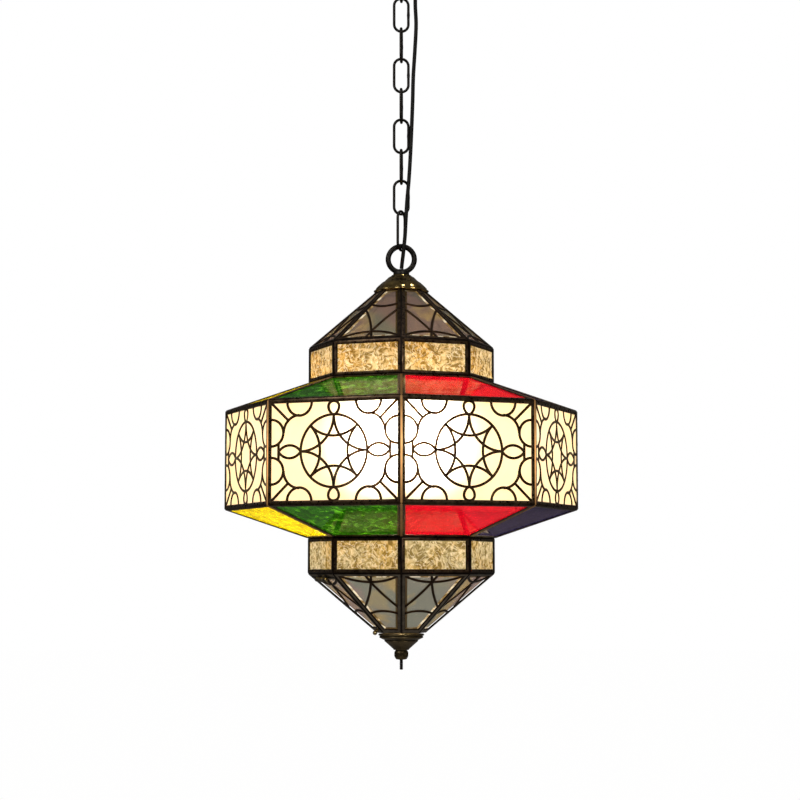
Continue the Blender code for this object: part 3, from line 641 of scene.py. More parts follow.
def block(bm, size, centre, edge):
    """A box with its edges cut off."""
    verts = bmesh.ops.create_cube(bm, size=1)["verts"]
    bmesh.ops.scale(bm, vec=size, verts=verts)
    bmesh.ops.translate(bm, vec=centre, verts=verts)
    edges = list(dict.fromkeys(e for v in verts for e in v.link_edges))
    bmesh.ops.bevel(bm, geom=edges, offset=edge, segments=2, profile=0.7, affect="EDGES")


def prism(bm, radius, sides, low, high, edge, centre, hole):
    """An upright nut: a many-sided ring with its edges taken off."""
    outline = [(hole, low), (radius - edge, low), (radius, low + edge)]
    outline += [(radius, high - edge), (radius - edge, high), (hole, high)]
    lathe(bm, outline, sides, centre)


# ---------------------------------------------------------------- chain and cable

CABLE_D = 0.0039
CABLE_ROUTE = (
    (0.0150, 0.0000, -0.0215),
    (0.0150, -0.0002, -0.0400),
    (0.0146, -0.0010, -0.0620),
    (0.0144, -0.0018, -0.0830),
    (0.0152, -0.0026, -0.1040),
    (0.0140, -0.0034, -0.1300),
    (0.0123, -0.0040, -0.1580),
    (0.0116, -0.0044, -0.1840),
    (0.0106, -0.0047, -0.2110),
    (0.0094, -0.0049, -0.2380),
    (0.0078, -0.0051, -0.2650),
    (0.0058, -0.0053, -0.2880),
    (0.0046, -0.0054, -0.3080),
    (0.0038, -0.0056, -0.3230),
    (0.0027, -0.0055, -0.3350),
    (0.0017, -0.0036, -0.3440),
    (0.0008, -0.0013, -0.3510),
    (0.0002, -0.0001, -0.3565),
)
LINKS = 9


def catmull_rom(points, per_span):
    ends = [2 * points[0] - points[1], *points, 2 * points[-1] - points[-2]]
    curve = []
    for a, b, c, d in zip(ends, ends[1:], ends[2:], ends[3:]):
        for i in range(per_span):
            t = i / per_span
            square = (2 * a - 5 * b + 4 * c - d) * t**2
            cube = (3 * b - a - 3 * c + d) * t**3
            curve.append((2 * b + (c - a) * t + square + cube) / 2)
    curve.append(points[-1])
    return curve


def cut_at(path, high, low):
    """The stretch of a falling path between two heights."""
    out = []
    for a, b in zip(path, path[1:]):
        for z in (high, low):
            if a.z > z > b.z:
                out.append(a.lerp(b, (a.z - z) / (a.z - b.z)))
        if low < b.z < high:
            out.append(b)
    if path[0].z <= high:
        out.insert(0, path[0])
    if path[-1].z >= low and path[-1] not in out:
        out.append(path[-1])
    return out


def even(path, step):
    """The same path with evenly spaced points."""
    lengths = [0.0]
    for a, b in zip(path, path[1:]):
        lengths.append(lengths[-1] + (b - a).length)
    count = max(2, round(lengths[-1] / step))
    chosen, i = [], 0
    for n in range(count + 1):
        at = lengths[-1] * n / count
        while i < len(path) - 2 and lengths[i + 1] < at:
            i += 1
        share = (at - lengths[i]) / (lengths[i + 1] - lengths[i])
        chosen.append(path[i].lerp(path[i + 1], share))
    return chosen


def link_middle(number):
    low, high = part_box(f"chain_link_{number}")
    return (low.z + high.z) / 2


def cable():
    """The cable in one stretch per chain joint, cut at the middle of each link."""
    route = catmull_rom([Vector(p) for p in CABLE_ROUTE], 24)
    cuts = [route[0].z] + [link_middle(n) for n in range(LINKS, 0, -1)] + [route[-1].z]
    joints = [f"link_{n}_swing" for n in range(LINKS, 0, -1)] + ["lantern_swing"]
    for i, joint in enumerate(joints):
        path = even(cut_at(route, cuts[i], cuts[i + 1]), 2.0 * MM)
        bm = tube(bmesh.new(), path, CABLE_D / 2, 16)
        obj = piece(f"cable_stretch_{i + 1}", bm, CABLE, replaces=["power_cable"])
        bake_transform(obj)


def stadium(height, width):
    """Centreline of a link in the XZ plane: two half circles joined by straight sides."""
    steps, straight_steps = 18, 6
    radius = width / 2
    straight = height / 2 - radius
    points = []
    for turn, middle in ((0, straight), (math.pi, -straight)):
        for i in range(steps + 1):
            a = turn + math.pi * i / steps
            points.append(Vector((radius * math.cos(a), 0, middle + radius * math.sin(a))))
        last = points[-1]
        for i in range(1, straight_steps):
            down = Vector((0, 0, 2 * middle * i / straight_steps))
            points.append(last - down)
    return points


def chain_link(number):
    """A bent wire link, slightly worn inside both crowns. Its ends are welded in the middle of one
    side, which leaves a low swelling."""
    low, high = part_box(f"chain_link_{number}")
    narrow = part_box("chain_link_2")
    wire = min(narrow[1].x - narrow[0].x, narrow[1].y - narrow[0].y)
    widest = max(points_of(f"chain_link_{number}"), key=flat_radius)
    tall, width = high.z - low.z - wire, 2 * flat_radius(widest) - wire
    weld = -width / 2
    wear, wear_reach = 0.3 * MM, 2.6 * MM
    swelling, weld_reach = 0.16, 2.2 * MM

    bm = bmesh.new()
    tube(bm, stadium(tall, width), wire / 2, 20, closed=True)
    for vert in bm.verts:
        crown = Vector((0, 0, math.copysign(tall / 2, vert.co.z)))
        near = (vert.co - crown).length / wear_reach
        if near < 1 and abs(vert.co.z) < tall / 2:
            vert.co.z += math.copysign(wear * (1 - near), crown.z)
    for vert in bm.verts:
        near = abs(vert.co.z) / weld_reach
        if vert.co.x < weld / 2 and near < 1:
            swell = 1 + swelling * (1 - near * near) ** 2
            vert.co.x = weld + (vert.co.x - weld) * swell
            vert.co.y *= swell
    turn = Matrix.Rotation(math.atan2(widest.y, widest.x), 4, "Z")
    turn.translation.z = (low.z + high.z) / 2
    bmesh.ops.transform(bm, verts=bm.verts, matrix=turn)
    name = f"chain_wire_{number}"
    piece(name, bm, STEEL, f"link_{number}", [f"chain_link_{number}"], sharp=60)


# ---------------------------------------------------------------- ceiling fitting


def ring_path(radius, z, steps):
    points = []
    for i in range(steps):
        a = math.tau * i / steps
        points.append(Vector((radius * math.cos(a), 0, z + radius * math.sin(a))))
    return points


def canopy():
    """Spun cup with a beaded rim."""
    low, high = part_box("ceiling_canopy")
    radius, floor_z = high.x, low.z
    wall = 1.3 * MM
    bend = 16 * MM
    bead = 1.6 * MM
    hole = 5.1 * MM
    outer = [(hole, floor_z), (radius - bend, floor_z)]
    outer += turned_arc(radius - bend, floor_z + bend, bend, -88, -4, 16)
    outer += [(radius - 0.1 * MM, high.z - 2.6 * bead)]
    outer += turned_arc(radius - 0.2 * MM, high.z - bead, bead, -80, 80)
    inner = [(radius - wall, high.z), (radius - wall, floor_z + bend)]
    inner += turned_arc(radius - bend, floor_z + bend, bend - wall, -4, -88, 12)
    inner += [(hole, floor_z + wall)]
    bm = lathe(bmesh.new(), outer + inner, 96)
    piece("canopy_shell", bm, BRONZE, "ceiling", ["ceiling_canopy"])


def gland():
    """Cable gland: a spout and a nut below the canopy's floor, and a collar through it."""
    floor_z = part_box("ceiling_canopy")[0].z
    low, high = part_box("canopy_gland")
    centre = ((low.x + high.x) / 2, 0)
    bore = CABLE_D / 2 + 0.2 * MM
    nut_r = (high.x - low.x) / 2 * 1.04
    spout = [(bore, low.z), *outline_from(low.z, (2.9, 0), (3.4, 0.8))]
    spout += [*outline_from(floor_z, (3.7, -4.0)), (bore, floor_z - 4.0 * MM)]
    bm = lathe(bmesh.new(), spout, 32, centre)
    prism(bm, nut_r, 6, floor_z - 3.8 * MM, floor_z - 0.2 * MM, 0.4 * MM, centre, bore)
    prism(bm, 3.4 * MM, 24, floor_z - 0.1 * MM, high.z, 0.3 * MM, centre, bore)
    piece("gland_body", bm, BRASS, "ceiling", ["canopy_gland"])


def mounting_bar():
    """The bar, and a domed screw near each of its ends."""
    low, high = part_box("mounting_bar")
    seat = low.z - 0.3 * MM
    head_r, shank_r, from_end = 3.6 * MM, 2.0 * MM, 10 * MM
    for side, label in ((-1, "left"), (1, "right")):
        screw = [(r, seat + 0.6 * z) for r, z in turned_arc(0, 0, head_r, -90, -8)]
        screw += [(shank_r, low.z - 0.2 * MM), (shank_r, high.z), (0, high.z)]
        bm = lathe(bmesh.new(), screw, 24, (side * (high.x - from_end), 0))
        piece(f"ceiling_screw_{label}", bm, STEEL, "ceiling")
    repaint("mounting_bar", STEEL)


def canopy_ring():
    """Stem through the canopy, with the ring that holds the highest link."""
    low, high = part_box("canopy_loop")
    floor_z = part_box("ceiling_canopy")[0].z
    pivot_z = JOINTS[f"link_{LINKS}_swing"]["pos_m"][2]
    ring_r = 9.5 * MM
    bm = bmesh.new()
    tube(bm, ring_path(ring_r, pivot_z + ring_r, 48), pivot_z - low.z, 20, closed=True)
    stem = outline_from(pivot_z + 2 * ring_r, (0, -1.2), (4.6, -1.0), (7.5, 1.4))
    stem += outline_from(floor_z, (7.5, -1.6), (6.9, -0.3), (4.8, -0.3))
    stem += [(4.8 * MM, high.z), (0, high.z)]
    lathe(bm, softened(stem, 0.5 * MM), 48)
    piece("canopy_ring", bm, STEEL, "ceiling", ["canopy_loop"])


# ---------------------------------------------------------------- hub, cap, lamp, finial


def hub_ring():
    """Cast ring that stands on a round hub, slightly worn where the lowest link holds it."""
    low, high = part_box("hanging_loop")
    wire = 5.4 * MM
    ring_r = 13.25 * MM
    ring_z = high.z - ring_r - wire / 2
    bm = bmesh.new()
    tube(bm, ring_path(ring_r, ring_z, 72), wire / 2, 28, closed=True)
    crown = Vector((0, 0, ring_z + ring_r - wire / 2))
    wear = 0.4 * MM
    for vert in bm.verts:
        near = (vert.co - crown).length / wire
        vert.co.z += wear * max(0, 1 - near)
    top = ring_z - ring_r + wire * 0.45
    hub = outline_from(top, (0, 1.0), (3.6, 0.4), (5.2, -1.0), (7.5, -1.5), (8.1, -2.2))
    hub += outline_from(low.z, (8.1, 0.5), (7.6, 0), (0, 0))
    lathe(bm, hub)
    piece("hub_ring", bm, STEEL, "lantern", ["hanging_loop"])


def top_cap():
    """Spun bell over the roof's small end, with a lobe over each hip and a rolled rim."""
    low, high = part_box("top_cap")
    z0, z1 = low.z, high.z
    foot = high.x * 0.968
    outer = outline_from(z1, (5.1, 0), (9.4, 0), (10.2, -0.5), (10.6, -1.2), (11.6, -1.6))
    outer += outline_from(z1, (12.8, -2.2), (15.2, -4.6), (17.0, -6.4), (18.8, -7.4))
    outer += outline_from(z1, (20.6, -9.0), (22.6, -11.0))
    outer += [(foot - 2.2 * MM, z1 - 13.4 * MM)]
    outer += turned_arc(foot - 1.1 * MM, z0 + 1.2 * MM, 1.1 * MM, 110, -80, 9)
    inner = [(foot - 3.0 * MM, z0 + 2.2 * MM)]
    inner += outline_from(z0, (19.9, 6.4), (16.1, 9.7), (13.6, 12.1), (5.1, 12.1))
    bm = lathe(bmesh.new(), outer + inner, 24 * SIDES)
    for vert in bm.verts:
        crest = abs(math.cos(4 * math.atan2(vert.co.x, vert.co.y))) - 0.64
        growth = min(1, max(0, (flat_radius(vert.co) - 10 * MM) / (17 * MM)))
        widen(vert, 1 + 0.09 * growth * crest)
    piece("cap_bell", bm, AGED_BRASS, "lantern", ["top_cap"], sharp=28)


def lampholder():
    """Moulded holder with ribs round its mouth."""
    low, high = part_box("lampholder")
    z0, z1 = low.z, high.z
    radius = high.x
    neck_r = 17.0 * MM
    shell = [(13.5 * MM, z0), (radius - 0.6 * MM, z0), (radius, z0 + 0.6 * MM)]
    for i in range(5):
        z = z0 + 2.4 * MM + i * 2.6 * MM
        shell += [(radius, z), (radius - 0.7 * MM, z + 0.6 * MM), (radius, z + 1.2 * MM)]
    shell += [(radius, z0 + 15.4 * MM), (radius - 1 * MM, z0 + 16.4 * MM)]
    shell += [(neck_r, z0 + 18.6 * MM), (neck_r, z1 - 8 * MM)]
    shell += turned_arc(9 * MM, z1 - 8 * MM, 8 * MM, 0, 90)[1:]
    shell += outline_from(z1, (5.2, 0), (5.2, -6), (13.5, -12))
    bm = lathe(bmesh.new(), shell, 72)
    piece("holder_shell", bm, HOLDER, "lantern", ["lampholder"])


def bulb():
    """A globe, and the threaded cap that goes into the holder."""
    low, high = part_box("bulb")
    mouth_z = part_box("lampholder")[0].z
    globe_r = high.x
    globe = [(0, low.z), *turned_arc(0, low.z + globe_r, globe_r, -88, 38, 26)]
    globe += outline_from(mouth_z - 4 * MM, (18.2, -6.5), (15.0, -2.4), (13.2, 0), (0, 0))
    piece("bulb_globe", lathe(bmesh.new(), globe), LAMP, "lantern", ["bulb"])

    base = mouth_z - 3 * MM
    cap = outline_from(base, (0, 0), (12.9, 0))
    cap += thread(12.4 * MM, 0.5 * MM, 3.2 * MM, base + 1.5 * MM, 37, 6)
    cap += outline_from(cap[-1][1], (9, 1.5), (4.5, 3.2), (0, 3.8))
    bm = lathe(bmesh.new(), cap, 48)
    piece("bulb_thread", bm, BRASS, "lantern", ["bulb"])


def bottom_cap():
    """Turned cap under the cone's small end."""
    low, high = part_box("bottom_cap")
    rim_r, z0, z1 = high.x, low.z, high.z
    outer = [(rim_r - 2.6 * MM, z1), (rim_r - 0.5 * MM, z1)]
    outer += turned_arc(rim_r - 0.9 * MM, z1 - 1.0 * MM, 0.9 * MM, 80, -80)
    outer += [(rim_r - 1.5 * MM, z1 - 2.1 * MM)]
    outer += turned_arc(rim_r - 1.9 * MM, z1 - 3.3 * MM, 1.0 * MM, 70, -80, 6)
    slope = ((18.6, 0.66), (16.6, 0.60), (16.9, 0.55), (12.8, 0.33), (9.8, 0.16), (7.9, 0.05))
    outer += [(r * MM, z0 + share * (z1 - z0)) for r, share in slope]
    inner = outline_from(z0, (7.5, 0), (2, 0), (2, 1.6), (6, 1.7), (12, 6.5), (17.5, 11.8))
    bm = lathe(bmesh.new(), outer + inner, 80)
    piece("tail_cap", bm, CROWN, "lantern", ["bottom_cap"])


def finial():
    """Knurled nut below the bottom cap, and the end of the threaded rod."""
    low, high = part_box("finial")
    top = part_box("bottom_cap")[0].z - 0.3 * MM
    ball_r, rod_r = high.x, 1.7 * MM
    knurls, knurl_depth = 32, 0.045
    ball = [(rod_r, top), (5.8 * MM, top), (ball_r * 0.97, top - 1.5 * MM)]
    ball += [(ball_r, top - 2.6 * MM), (ball_r, top - 5.6 * MM), (ball_r * 0.93, top - 6.8 * MM)]
    ball += outline_from(top, (5.2, -8.9), (3.2, -9.3), (1.7, -9.3))
    bm = lathe(bmesh.new(), softened(ball, 0.5 * MM, 2))
    for vert in bm.verts:
        if top - 5.6 * MM < vert.co.z < top - 2.4 * MM and flat_radius(vert.co) > ball_r * 0.98:
            ridges = math.cos(knurls * math.atan2(vert.co.y, vert.co.x))
            widen(vert, 1 - knurl_depth * (0.5 + 0.5 * ridges))
    piece("finial_nut", bm, CROWN, "lantern", ["finial"])

    pitch = 0.9 * MM
    ridge = 0.14 * MM
    count = int((top - low.z + 4 * MM) / (pitch / 4))
    rod = [(0, low.z), (rod_r - 0.5 * MM, low.z)]
    rod += thread(rod_r - ridge, ridge, pitch, low.z + 0.5 * MM, count, 4)
    rod += [(0, rod[-1][1] + 0.2 * MM)]
    piece("finial_rod", lathe(bmesh.new(), rod, 24), STEEL, "lantern", ["finial"])


# ---------------------------------------------------------------- storeys of the body

SKIN = 1.2 * MM
PANE_DEPTH = 1.5 * MM
PANE_BACK = 3.4 * MM
DEEP = 3.0 * MM
LIP = 0.8 * MM
STRIP = 3.8 * MM
REBATE = 2.6 * MM
LAP = 1.8 * MM
SEAM = 0.60 * MM
BEVEL = 3.9 * MM
SOFT = 0.45 * MM
CAMBER = 0.12 * MM
CROWN_STRIP = 17.5 * MM
TAIL_STRIP = 6.0 * MM

OUTLINE = (
    ROOF_END,
    (NECK_R, UPPER_NECK_TOP),
    (NECK_R, UPPER_NECK_LOW),
    (WALL_R, WALL_TOP),
    (WALL_R, WALL_LOW),
    (NECK_R, LOWER_NECK_TOP),
    (NECK_R, LOWER_NECK_LOW),
    CONE_END,
)


def outward(upper, lower):
    along = (upper - lower).normalized()
    return Vector((along.y, -along.x))


class Storey:
    """One storey of the body. Its faces have (u, v) places: sideways, and up the slope from the
    lower edge. Depth is measured inwards from the outer surface."""

    def __init__(self, number):
        points = [Vector((r * FLAT, z)) for r, z in OUTLINE]
        self.top, self.low = points[number], points[number + 1]
        self.slant = (self.top - self.low).length
        self.along = (self.top - self.low) / self.slant
        self.normal = outward(self.top, self.low)
        above = points[number - 1] if number else None
        below = points[number + 2] if number + 2 < len(points) else None
        self.shift_top = self.mitre(above, self.top, True)
        self.shift_low = self.mitre(below, self.low, False)

    def mitre(self, beyond, here, above):
        """How far an end moves up the slope for each unit of depth."""
        if beyond is None:
            return 0.0
        other = outward(beyond, here) if above else outward(here, beyond)
        step = -(self.normal + other) / (1 + self.normal.dot(other))
        return step.dot(self.along)

    def half_width(self, v, depth=0.0):
        share = v / self.slant
        return TAN_HALF * (self.low.x + (self.top.x - self.low.x) * share - depth * self.normal.x)

    def axes(self, k):
        a = math.tau * (k + 0.5) / SIDES
        out = Vector((math.sin(a), -math.cos(a), 0))
        side = Vector((math.cos(a), math.sin(a), 0))
        up = out * self.along.x + Vector((0, 0, self.along.y))
        base = out * self.low.x + Vector((0, 0, self.low.y))
        return base, side, up, side.cross(up)

    def point(self, k, u, v, out=0.0):
        base, side, up, normal = self.axes(k)
        return base + side * u + up * v + normal * out

    def matrix(self, k, u=0.0, v=0.0, out=0.0):
        """Takes (sideways, up the slope, outwards) to the world."""
        base, side, up, normal = self.axes(k)
        turn = Matrix((side, up, normal)).transposed().to_4x4()
        return Matrix.Translation(base + side * u + up * v + normal * out) @ turn

    def outline(self, side, low, top, depth=0.0):
        """Corners of the face at a depth, less these border widths, anticlockwise."""
        lean = (self.half_width(0) - self.half_width(self.slant)) / self.slant
        inset = side * math.hypot(1, lean)
        v0 = self.shift_low * depth + low
        v1 = self.slant + self.shift_top * depth - top
        a, b = self.half_width(v0, depth) - inset, self.half_width(v1, depth) - inset
        return [(-a, v0), (a, v0), (b, v1), (-b, v1)]


ROOF, UPPER_NECK, UPPER_SHOULDER, WALL, LOWER_SHOULDER, LOWER_NECK, CONE = (
    Storey(number) for number in range(len(OUTLINE) - 1)
)


def loops(bm, storey, k, rows, closed=True):
    """Faces between rows of corners on face k, each row a list of (u, v) corners and a depth."""
    made = []
    for corners, depth in rows:
        made.append([bm.verts.new(storey.point(k, u, v, -depth)) for u, v in corners])
    return join_rings(bm, made, closed)


def edge_material(sheets):
    for sheet in sheets:
        for face in sheet:
            face.material_index = 1


def border(bm, storey, k, widths, deep=False):
    """A mitred strip with softened edges round face k. widths are (side, low, top). A shallow groove
    is left where it meets the strips of the faces next to it, and the sides of the upright grooves
    of a deep border have material index 1, as have all edges of a thin one."""
    back = DEEP if deep else SKIN
    closed_seam = -0.02 * MM

    def row(share, extra, depth):
        return storey.outline(*(w * share + extra for w in widths), depth), depth

    rows = [
        row(0, closed_seam, back),
        row(0, closed_seam, 0.7 * MM),
        row(0, SEAM, SOFT),
        row(0, SEAM + SOFT * 0.3, SOFT * 0.3),
        row(0, SEAM + SOFT, 0),
        row(0.5, 0, -CAMBER),
        row(1, -SOFT, 0),
        row(1, -SOFT * 0.3, SOFT * 0.3),
        row(1, 0, SOFT),
    ]
    if deep:
        inner = REBATE - STRIP
        rows += [row(1, 0, LIP), row(1, inner, LIP), row(1, inner, DEEP)]
    else:
        rows += [row(1, 0, back)]
    sheets = loops(bm, storey, k, rows)
    if deep:
        for sheet in sheets[1:4]:
            sheet[1].material_index = sheet[3].material_index = 1
    else:
        edge_material(sheets[1:4] + sheets[6:9])


def frame_of(name, storey, widths, deep, cad):
    bm = bmesh.new()
    for k in range(SIDES):
        border(bm, storey, k, widths, deep)
    second = LIT_SEAM if deep else DARK_EDGE
    piece(name, bm, BRONZE, "lantern", [cad], 50, second)


def bevelled_pane(name, storey, k, widths, body, cad):
    """A pane whose front is ground down to a thin edge all round. widths place its edge."""
    edge = PANE_BACK - 1.0 * MM
    bm = bmesh.new()
    rows = [
        (storey.outline(*widths, PANE_BACK), PANE_BACK),
        (storey.outline(*widths, edge), edge),
        (storey.outline(*(w + BEVEL for w in widths), PANE_DEPTH), PANE_DEPTH),
    ]
    for face in loops(bm, storey, k, rows, closed=False)[1]:
        face.material_index = 1
    glass = SMOKED if storey is ROOF else CLEAR
    piece(name, bm, glass, body, [cad], 12, CLEAR_BEVEL)


def crinkled_pane(storey, k, seed):
    """A pane with a hand-hammered outer surface."""
    edge = STRIP - LAP
    (u0, v0), (u1, _), (_, v1), _ = storey.outline(edge, edge, edge, PANE_DEPTH)
    step = 1.25 * MM
    nu, nv = round((u1 - u0) / step), round((v1 - v0) / step)
    narrowing = 1 - 0.8 * MM / u1
    bm = bmesh.new()
    fronts, backs = {}, {}
    for i in range(nu + 1):
        for j in range(nv + 1):
            u, v = u0 + (u1 - u0) * i / nu, v0 + (v1 - v0) * j / nv
            place = Vector((u, v, seed * 0.1)) / (7.5 * MM)
            margin = min(i, j, nu - i, nv - j, 2) / 2
            lift = 0.36 * MM * noise.fractal(place, 0.9, 2.1, 3) * margin
            front = storey.point(k, u, v, -PANE_DEPTH - 0.25 * MM + lift)
            fronts[i, j] = bm.verts.new(front)
            backs[i, j] = bm.verts.new(storey.point(k, u * narrowing, v, -PANE_BACK))
    for grid in (fronts, backs):
        for i in range(nu):
            for j in range(nv):
                bm.faces.new((grid[i, j], grid[i + 1, j], grid[i + 1, j + 1], grid[i, j + 1]))
    rim = [(i, 0) for i in range(nu)] + [(nu, j) for j in range(nv)]
    rim += [(i, nv) for i in range(nu, 0, -1)] + [(0, j) for j in range(nv, 0, -1)]
    for a, b in zip(rim, rim[1:] + rim[:1]):
        bm.faces.new((fronts[a], fronts[b], backs[b], backs[a]))
    return bm


# ---------------------------------------------------------------- tracery

BAR_W = 2.5 * MM
BAR_TOP = 0.15 * MM


def flat_arc(cu, cv, radius, start, stop, step=5.0):
    """(u, v) points of an arc, angles in degrees."""
    count = max(3, round(abs(stop - start) / step))
    points = []
    for i in range(count + 1):
        a = math.radians(start + (stop - start) * i / count)
        points.append((cu + radius * math.cos(a), cv + radius * math.sin(a)))
    return points


def bezier(a, b, c):
    steps = 14
    points = []
    for i in range(steps + 1):
        t = i / steps
        point = [a[n] * (1 - t) ** 2 + 2 * b[n] * t * (1 - t) + c[n] * t * t for n in (0, 1)]
        points.append(tuple(point))
    return points


def wall_pattern(half_w, half_h):
    """Star in a circle, with half circles, corner arcs and struts between it and the frame."""
    star = 0.731 * half_h
    bud = half_h - star
    lobe_r = 12.5 * MM
    top_lobe_u = 35.0 * MM
    side_lobe_v = 17.8 * MM
    corner_r = 16.2 * MM
    bar_u = half_w - 7.6 * MM
    closed = [flat_arc(0, 0, star, 0, 360, 4)[:-1]]
    opened = []
    for i in range(8):
        a = 45 * i
        far = star * math.sqrt(2)
        cu, cv = far * math.cos(math.radians(a)), far * math.sin(math.radians(a))
        opened.append(flat_arc(cu, cv, star, a + 135, a + 225, 4.5))
    for sign in (-1, 1):
        egg = []
        for i in range(28):
            t = math.tau * i / 28
            wide = 5.3 * MM * (1 + 0.22 * math.cos(t))
            egg.append((wide * math.sin(t), sign * (star + bud / 2 + bud / 2 * math.cos(t))))
        closed.append(egg)
        length = bar_u - star
        rise = 6.0 * MM
        leaf_r = (length * length / 4 + rise * rise) / (2 * rise)
        spread = math.degrees(math.asin(length / 2 / leaf_r))
        middle = sign * (star + length / 2)
        opened.append(flat_arc(middle, -(leaf_r - rise), leaf_r, 90 - spread, 90 + spread))
        opened.append(flat_arc(middle, leaf_r - rise, leaf_r, 270 - spread, 270 + spread))
        reach = side_lobe_v - math.sqrt(lobe_r**2 - (half_w - bar_u) ** 2)
        opened.append([(sign * bar_u, -reach), (sign * bar_u, 0.0), (sign * bar_u, reach)])
        for other in (-1, 1):
            start = 180 if other > 0 else 0
            opened.append(flat_arc(sign * top_lobe_u, other * half_h, lobe_r, start, start + 180))
            start = 90 if sign > 0 else -90
            opened.append(flat_arc(sign * half_w, other * side_lobe_v, lobe_r, start, start + 180))
            start = {(1, 1): 0, (-1, 1): 90, (-1, -1): 180, (1, -1): 270}[sign, other]
            opened.append(flat_arc(sign * top_lobe_u, other * side_lobe_v, corner_r, start, start + 90))
            knee = corner_r * math.sqrt(0.5)
            inner = (sign * (top_lobe_u + knee), other * (side_lobe_v + knee))
            outer = (sign * (half_w + 0.5 * MM), other * (half_h + 0.5 * MM))
            opened.append([inner, outer])
    return closed, opened


def fan_pattern(half_wide, half_far, length):
    """Bars of a sloping face: two shallow arcs and a pair of curves that cross low on its middle
    line. Heights run from the wide edge."""

    def half_at(share):
        return half_wide + (half_far - half_wide) * share

    def shallow(share, sag):
        half = half_at(share)
        radius = (half * half + sag * sag) / (2 * abs(sag))
        spread = math.degrees(math.asin(half / radius))
        v = share * length
        if sag > 0:
            return flat_arc(0, v + sag - radius, radius, 90 + spread, 90 - spread, 3)
        return flat_arc(0, v + sag + radius, radius, 270 - spread, 270 + spread, 3)

    opened = [shallow(0.0, 0.115 * length), shallow(0.70, -0.045 * length)]
    for sign in (-1, 1):
        start = (-sign * 3 * MM, -0.5 * MM)
        knee = (sign * 3.2 * MM, 0.29 * length)
        stop = (sign * (half_at(0.58) + 0.5 * MM), 0.58 * length)
        opened.append(bezier(start, knee, stop))
    return opened


def bar(bm, matrix, path, closed, base):
    """A flat bar with rounded shoulders along a path on a pane, from base depth up to BAR_TOP."""
    half = BAR_W / 2
    shape = ((-half, -base), (-half, -BAR_TOP - 0.35 * MM), (-half * 0.55, -BAR_TOP))
    shape += tuple((-a, b) for a, b in reversed(shape))
    count = len(path)
    rings = []
    for i, (u, v) in enumerate(path):
        if closed:
            before, after = path[i - 1], path[(i + 1) % count]
        else:
            before, after = path[max(i - 1, 0)], path[min(i + 1, count - 1)]
        du, dv = after[0] - before[0], after[1] - before[1]
        size = math.hypot(du, dv)
        nu, nv = -dv / size, du / size
        rings.append([bm.verts.new(matrix @ Vector((u + nu * a, v + nv * a, b))) for a, b in shape])
    join_rings(bm, rings, closed)


def tracery(name, matrix, closed, opened, base, body="lantern"):
    bm = bmesh.new()
    for path in closed:
        bar(bm, matrix, path, True, base)
    for path in opened:
        bar(bm, matrix, path, False, base)
    piece(name, bm, TRACERY, body, sharp=40)


def fan_tracery(name, storey, k, widths, body="lantern"):
    """The fan pattern in the opening that these borders leave, from the face's wider end."""
    (_, low), (low_half, _), (top_half, top), _ = storey.outline(*widths)
    if low_half > top_half:
        matrix = storey.matrix(k, v=low)
        opened = fan_pattern(low_half, top_half, top - low)
    else:
        matrix = storey.matrix(k, v=top)
        opened = fan_pattern(top_half, low_half, top - low)
        opened = [[(u, -v) for u, v in path] for path in opened]
    tracery(name, matrix, [], opened, PANE_DEPTH - 0.05 * MM, body)


# ---------------------------------------------------------------- body


def wall():
    frame_of("wall_strips", WALL, (STRIP,) * 3, True, "wall_frame")
    half_w = WALL.half_width(0) - STRIP
    half_h = WALL.slant / 2 - STRIP
    closed, opened = wall_pattern(half_w, half_h)
    for k in range(SIDES):
        repaint(f"wall_glass_{k + 1}", CREAM)
        middle = WALL.matrix(k, v=WALL.slant / 2)
        tracery(f"wall_tracery_{k + 1}", middle, closed, opened, LIP + 0.25 * MM)


def shoulders():
    for label, storey in (("upper", UPPER_SHOULDER), ("lower", LOWER_SHOULDER)):
        cad = f"{label}_shoulder_frame"
        frame_of(f"{label}_shoulder_strips", storey, (STRIP,) * 3, True, cad)
        for k in range(SIDES):
            colour = SHOULDER_COLOURS[k]
            repaint(f"{label}_shoulder_glass_{k + 1}", SHOULDER_GLASS[colour])


def necks():
    for label, storey, glass in (("upper", UPPER_NECK, AMBER), ("lower", LOWER_NECK, PALE_AMBER)):
        frame_of(f"{label}_neck_strips", storey, (STRIP,) * 3, False, f"{label}_neck_frame")
        for k in range(SIDES):
            bm = crinkled_pane(storey, k, k + (9 if label == "lower" else 0))
            name = f"{label}_neck_pane_{k + 1}"
            piece(name, bm, glass, "lantern", [f"{label}_neck_glass"], sharp=60)


def roof():
    widths = (STRIP, STRIP, CROWN_STRIP)
    frame_of("roof_strips", ROOF, widths, False, "roof_frame")
    lapped = [w - LAP for w in widths]
    for k in range(SIDES):
        bevelled_pane(f"roof_pane_{k + 1}", ROOF, k, lapped, "lantern", "roof_glass")
        fan_tracery(f"roof_tracery_{k + 1}", ROOF, k, widths)

    end_r, z = ROOF_END
    plate_r = end_r - 1.4 * MM
    hole = 5.6 * MM
    plate = [(hole, z - 3.5 * MM), (plate_r + 2.0 * MM, z - 3.5 * MM)]
    plate += [(plate_r, z - 0.7 * MM), (hole, z - 0.7 * MM)]
    bm = lathe(bmesh.new(), plate, SIDES)
    bmesh.ops.rotate(bm, verts=bm.verts, matrix=Matrix.Rotation(math.pi / 2, 3, "Z"))
    piece("crown_plate", bm, CROWN, "lantern", ["roof_frame"])


# ---------------------------------------------------------------- cone with its door

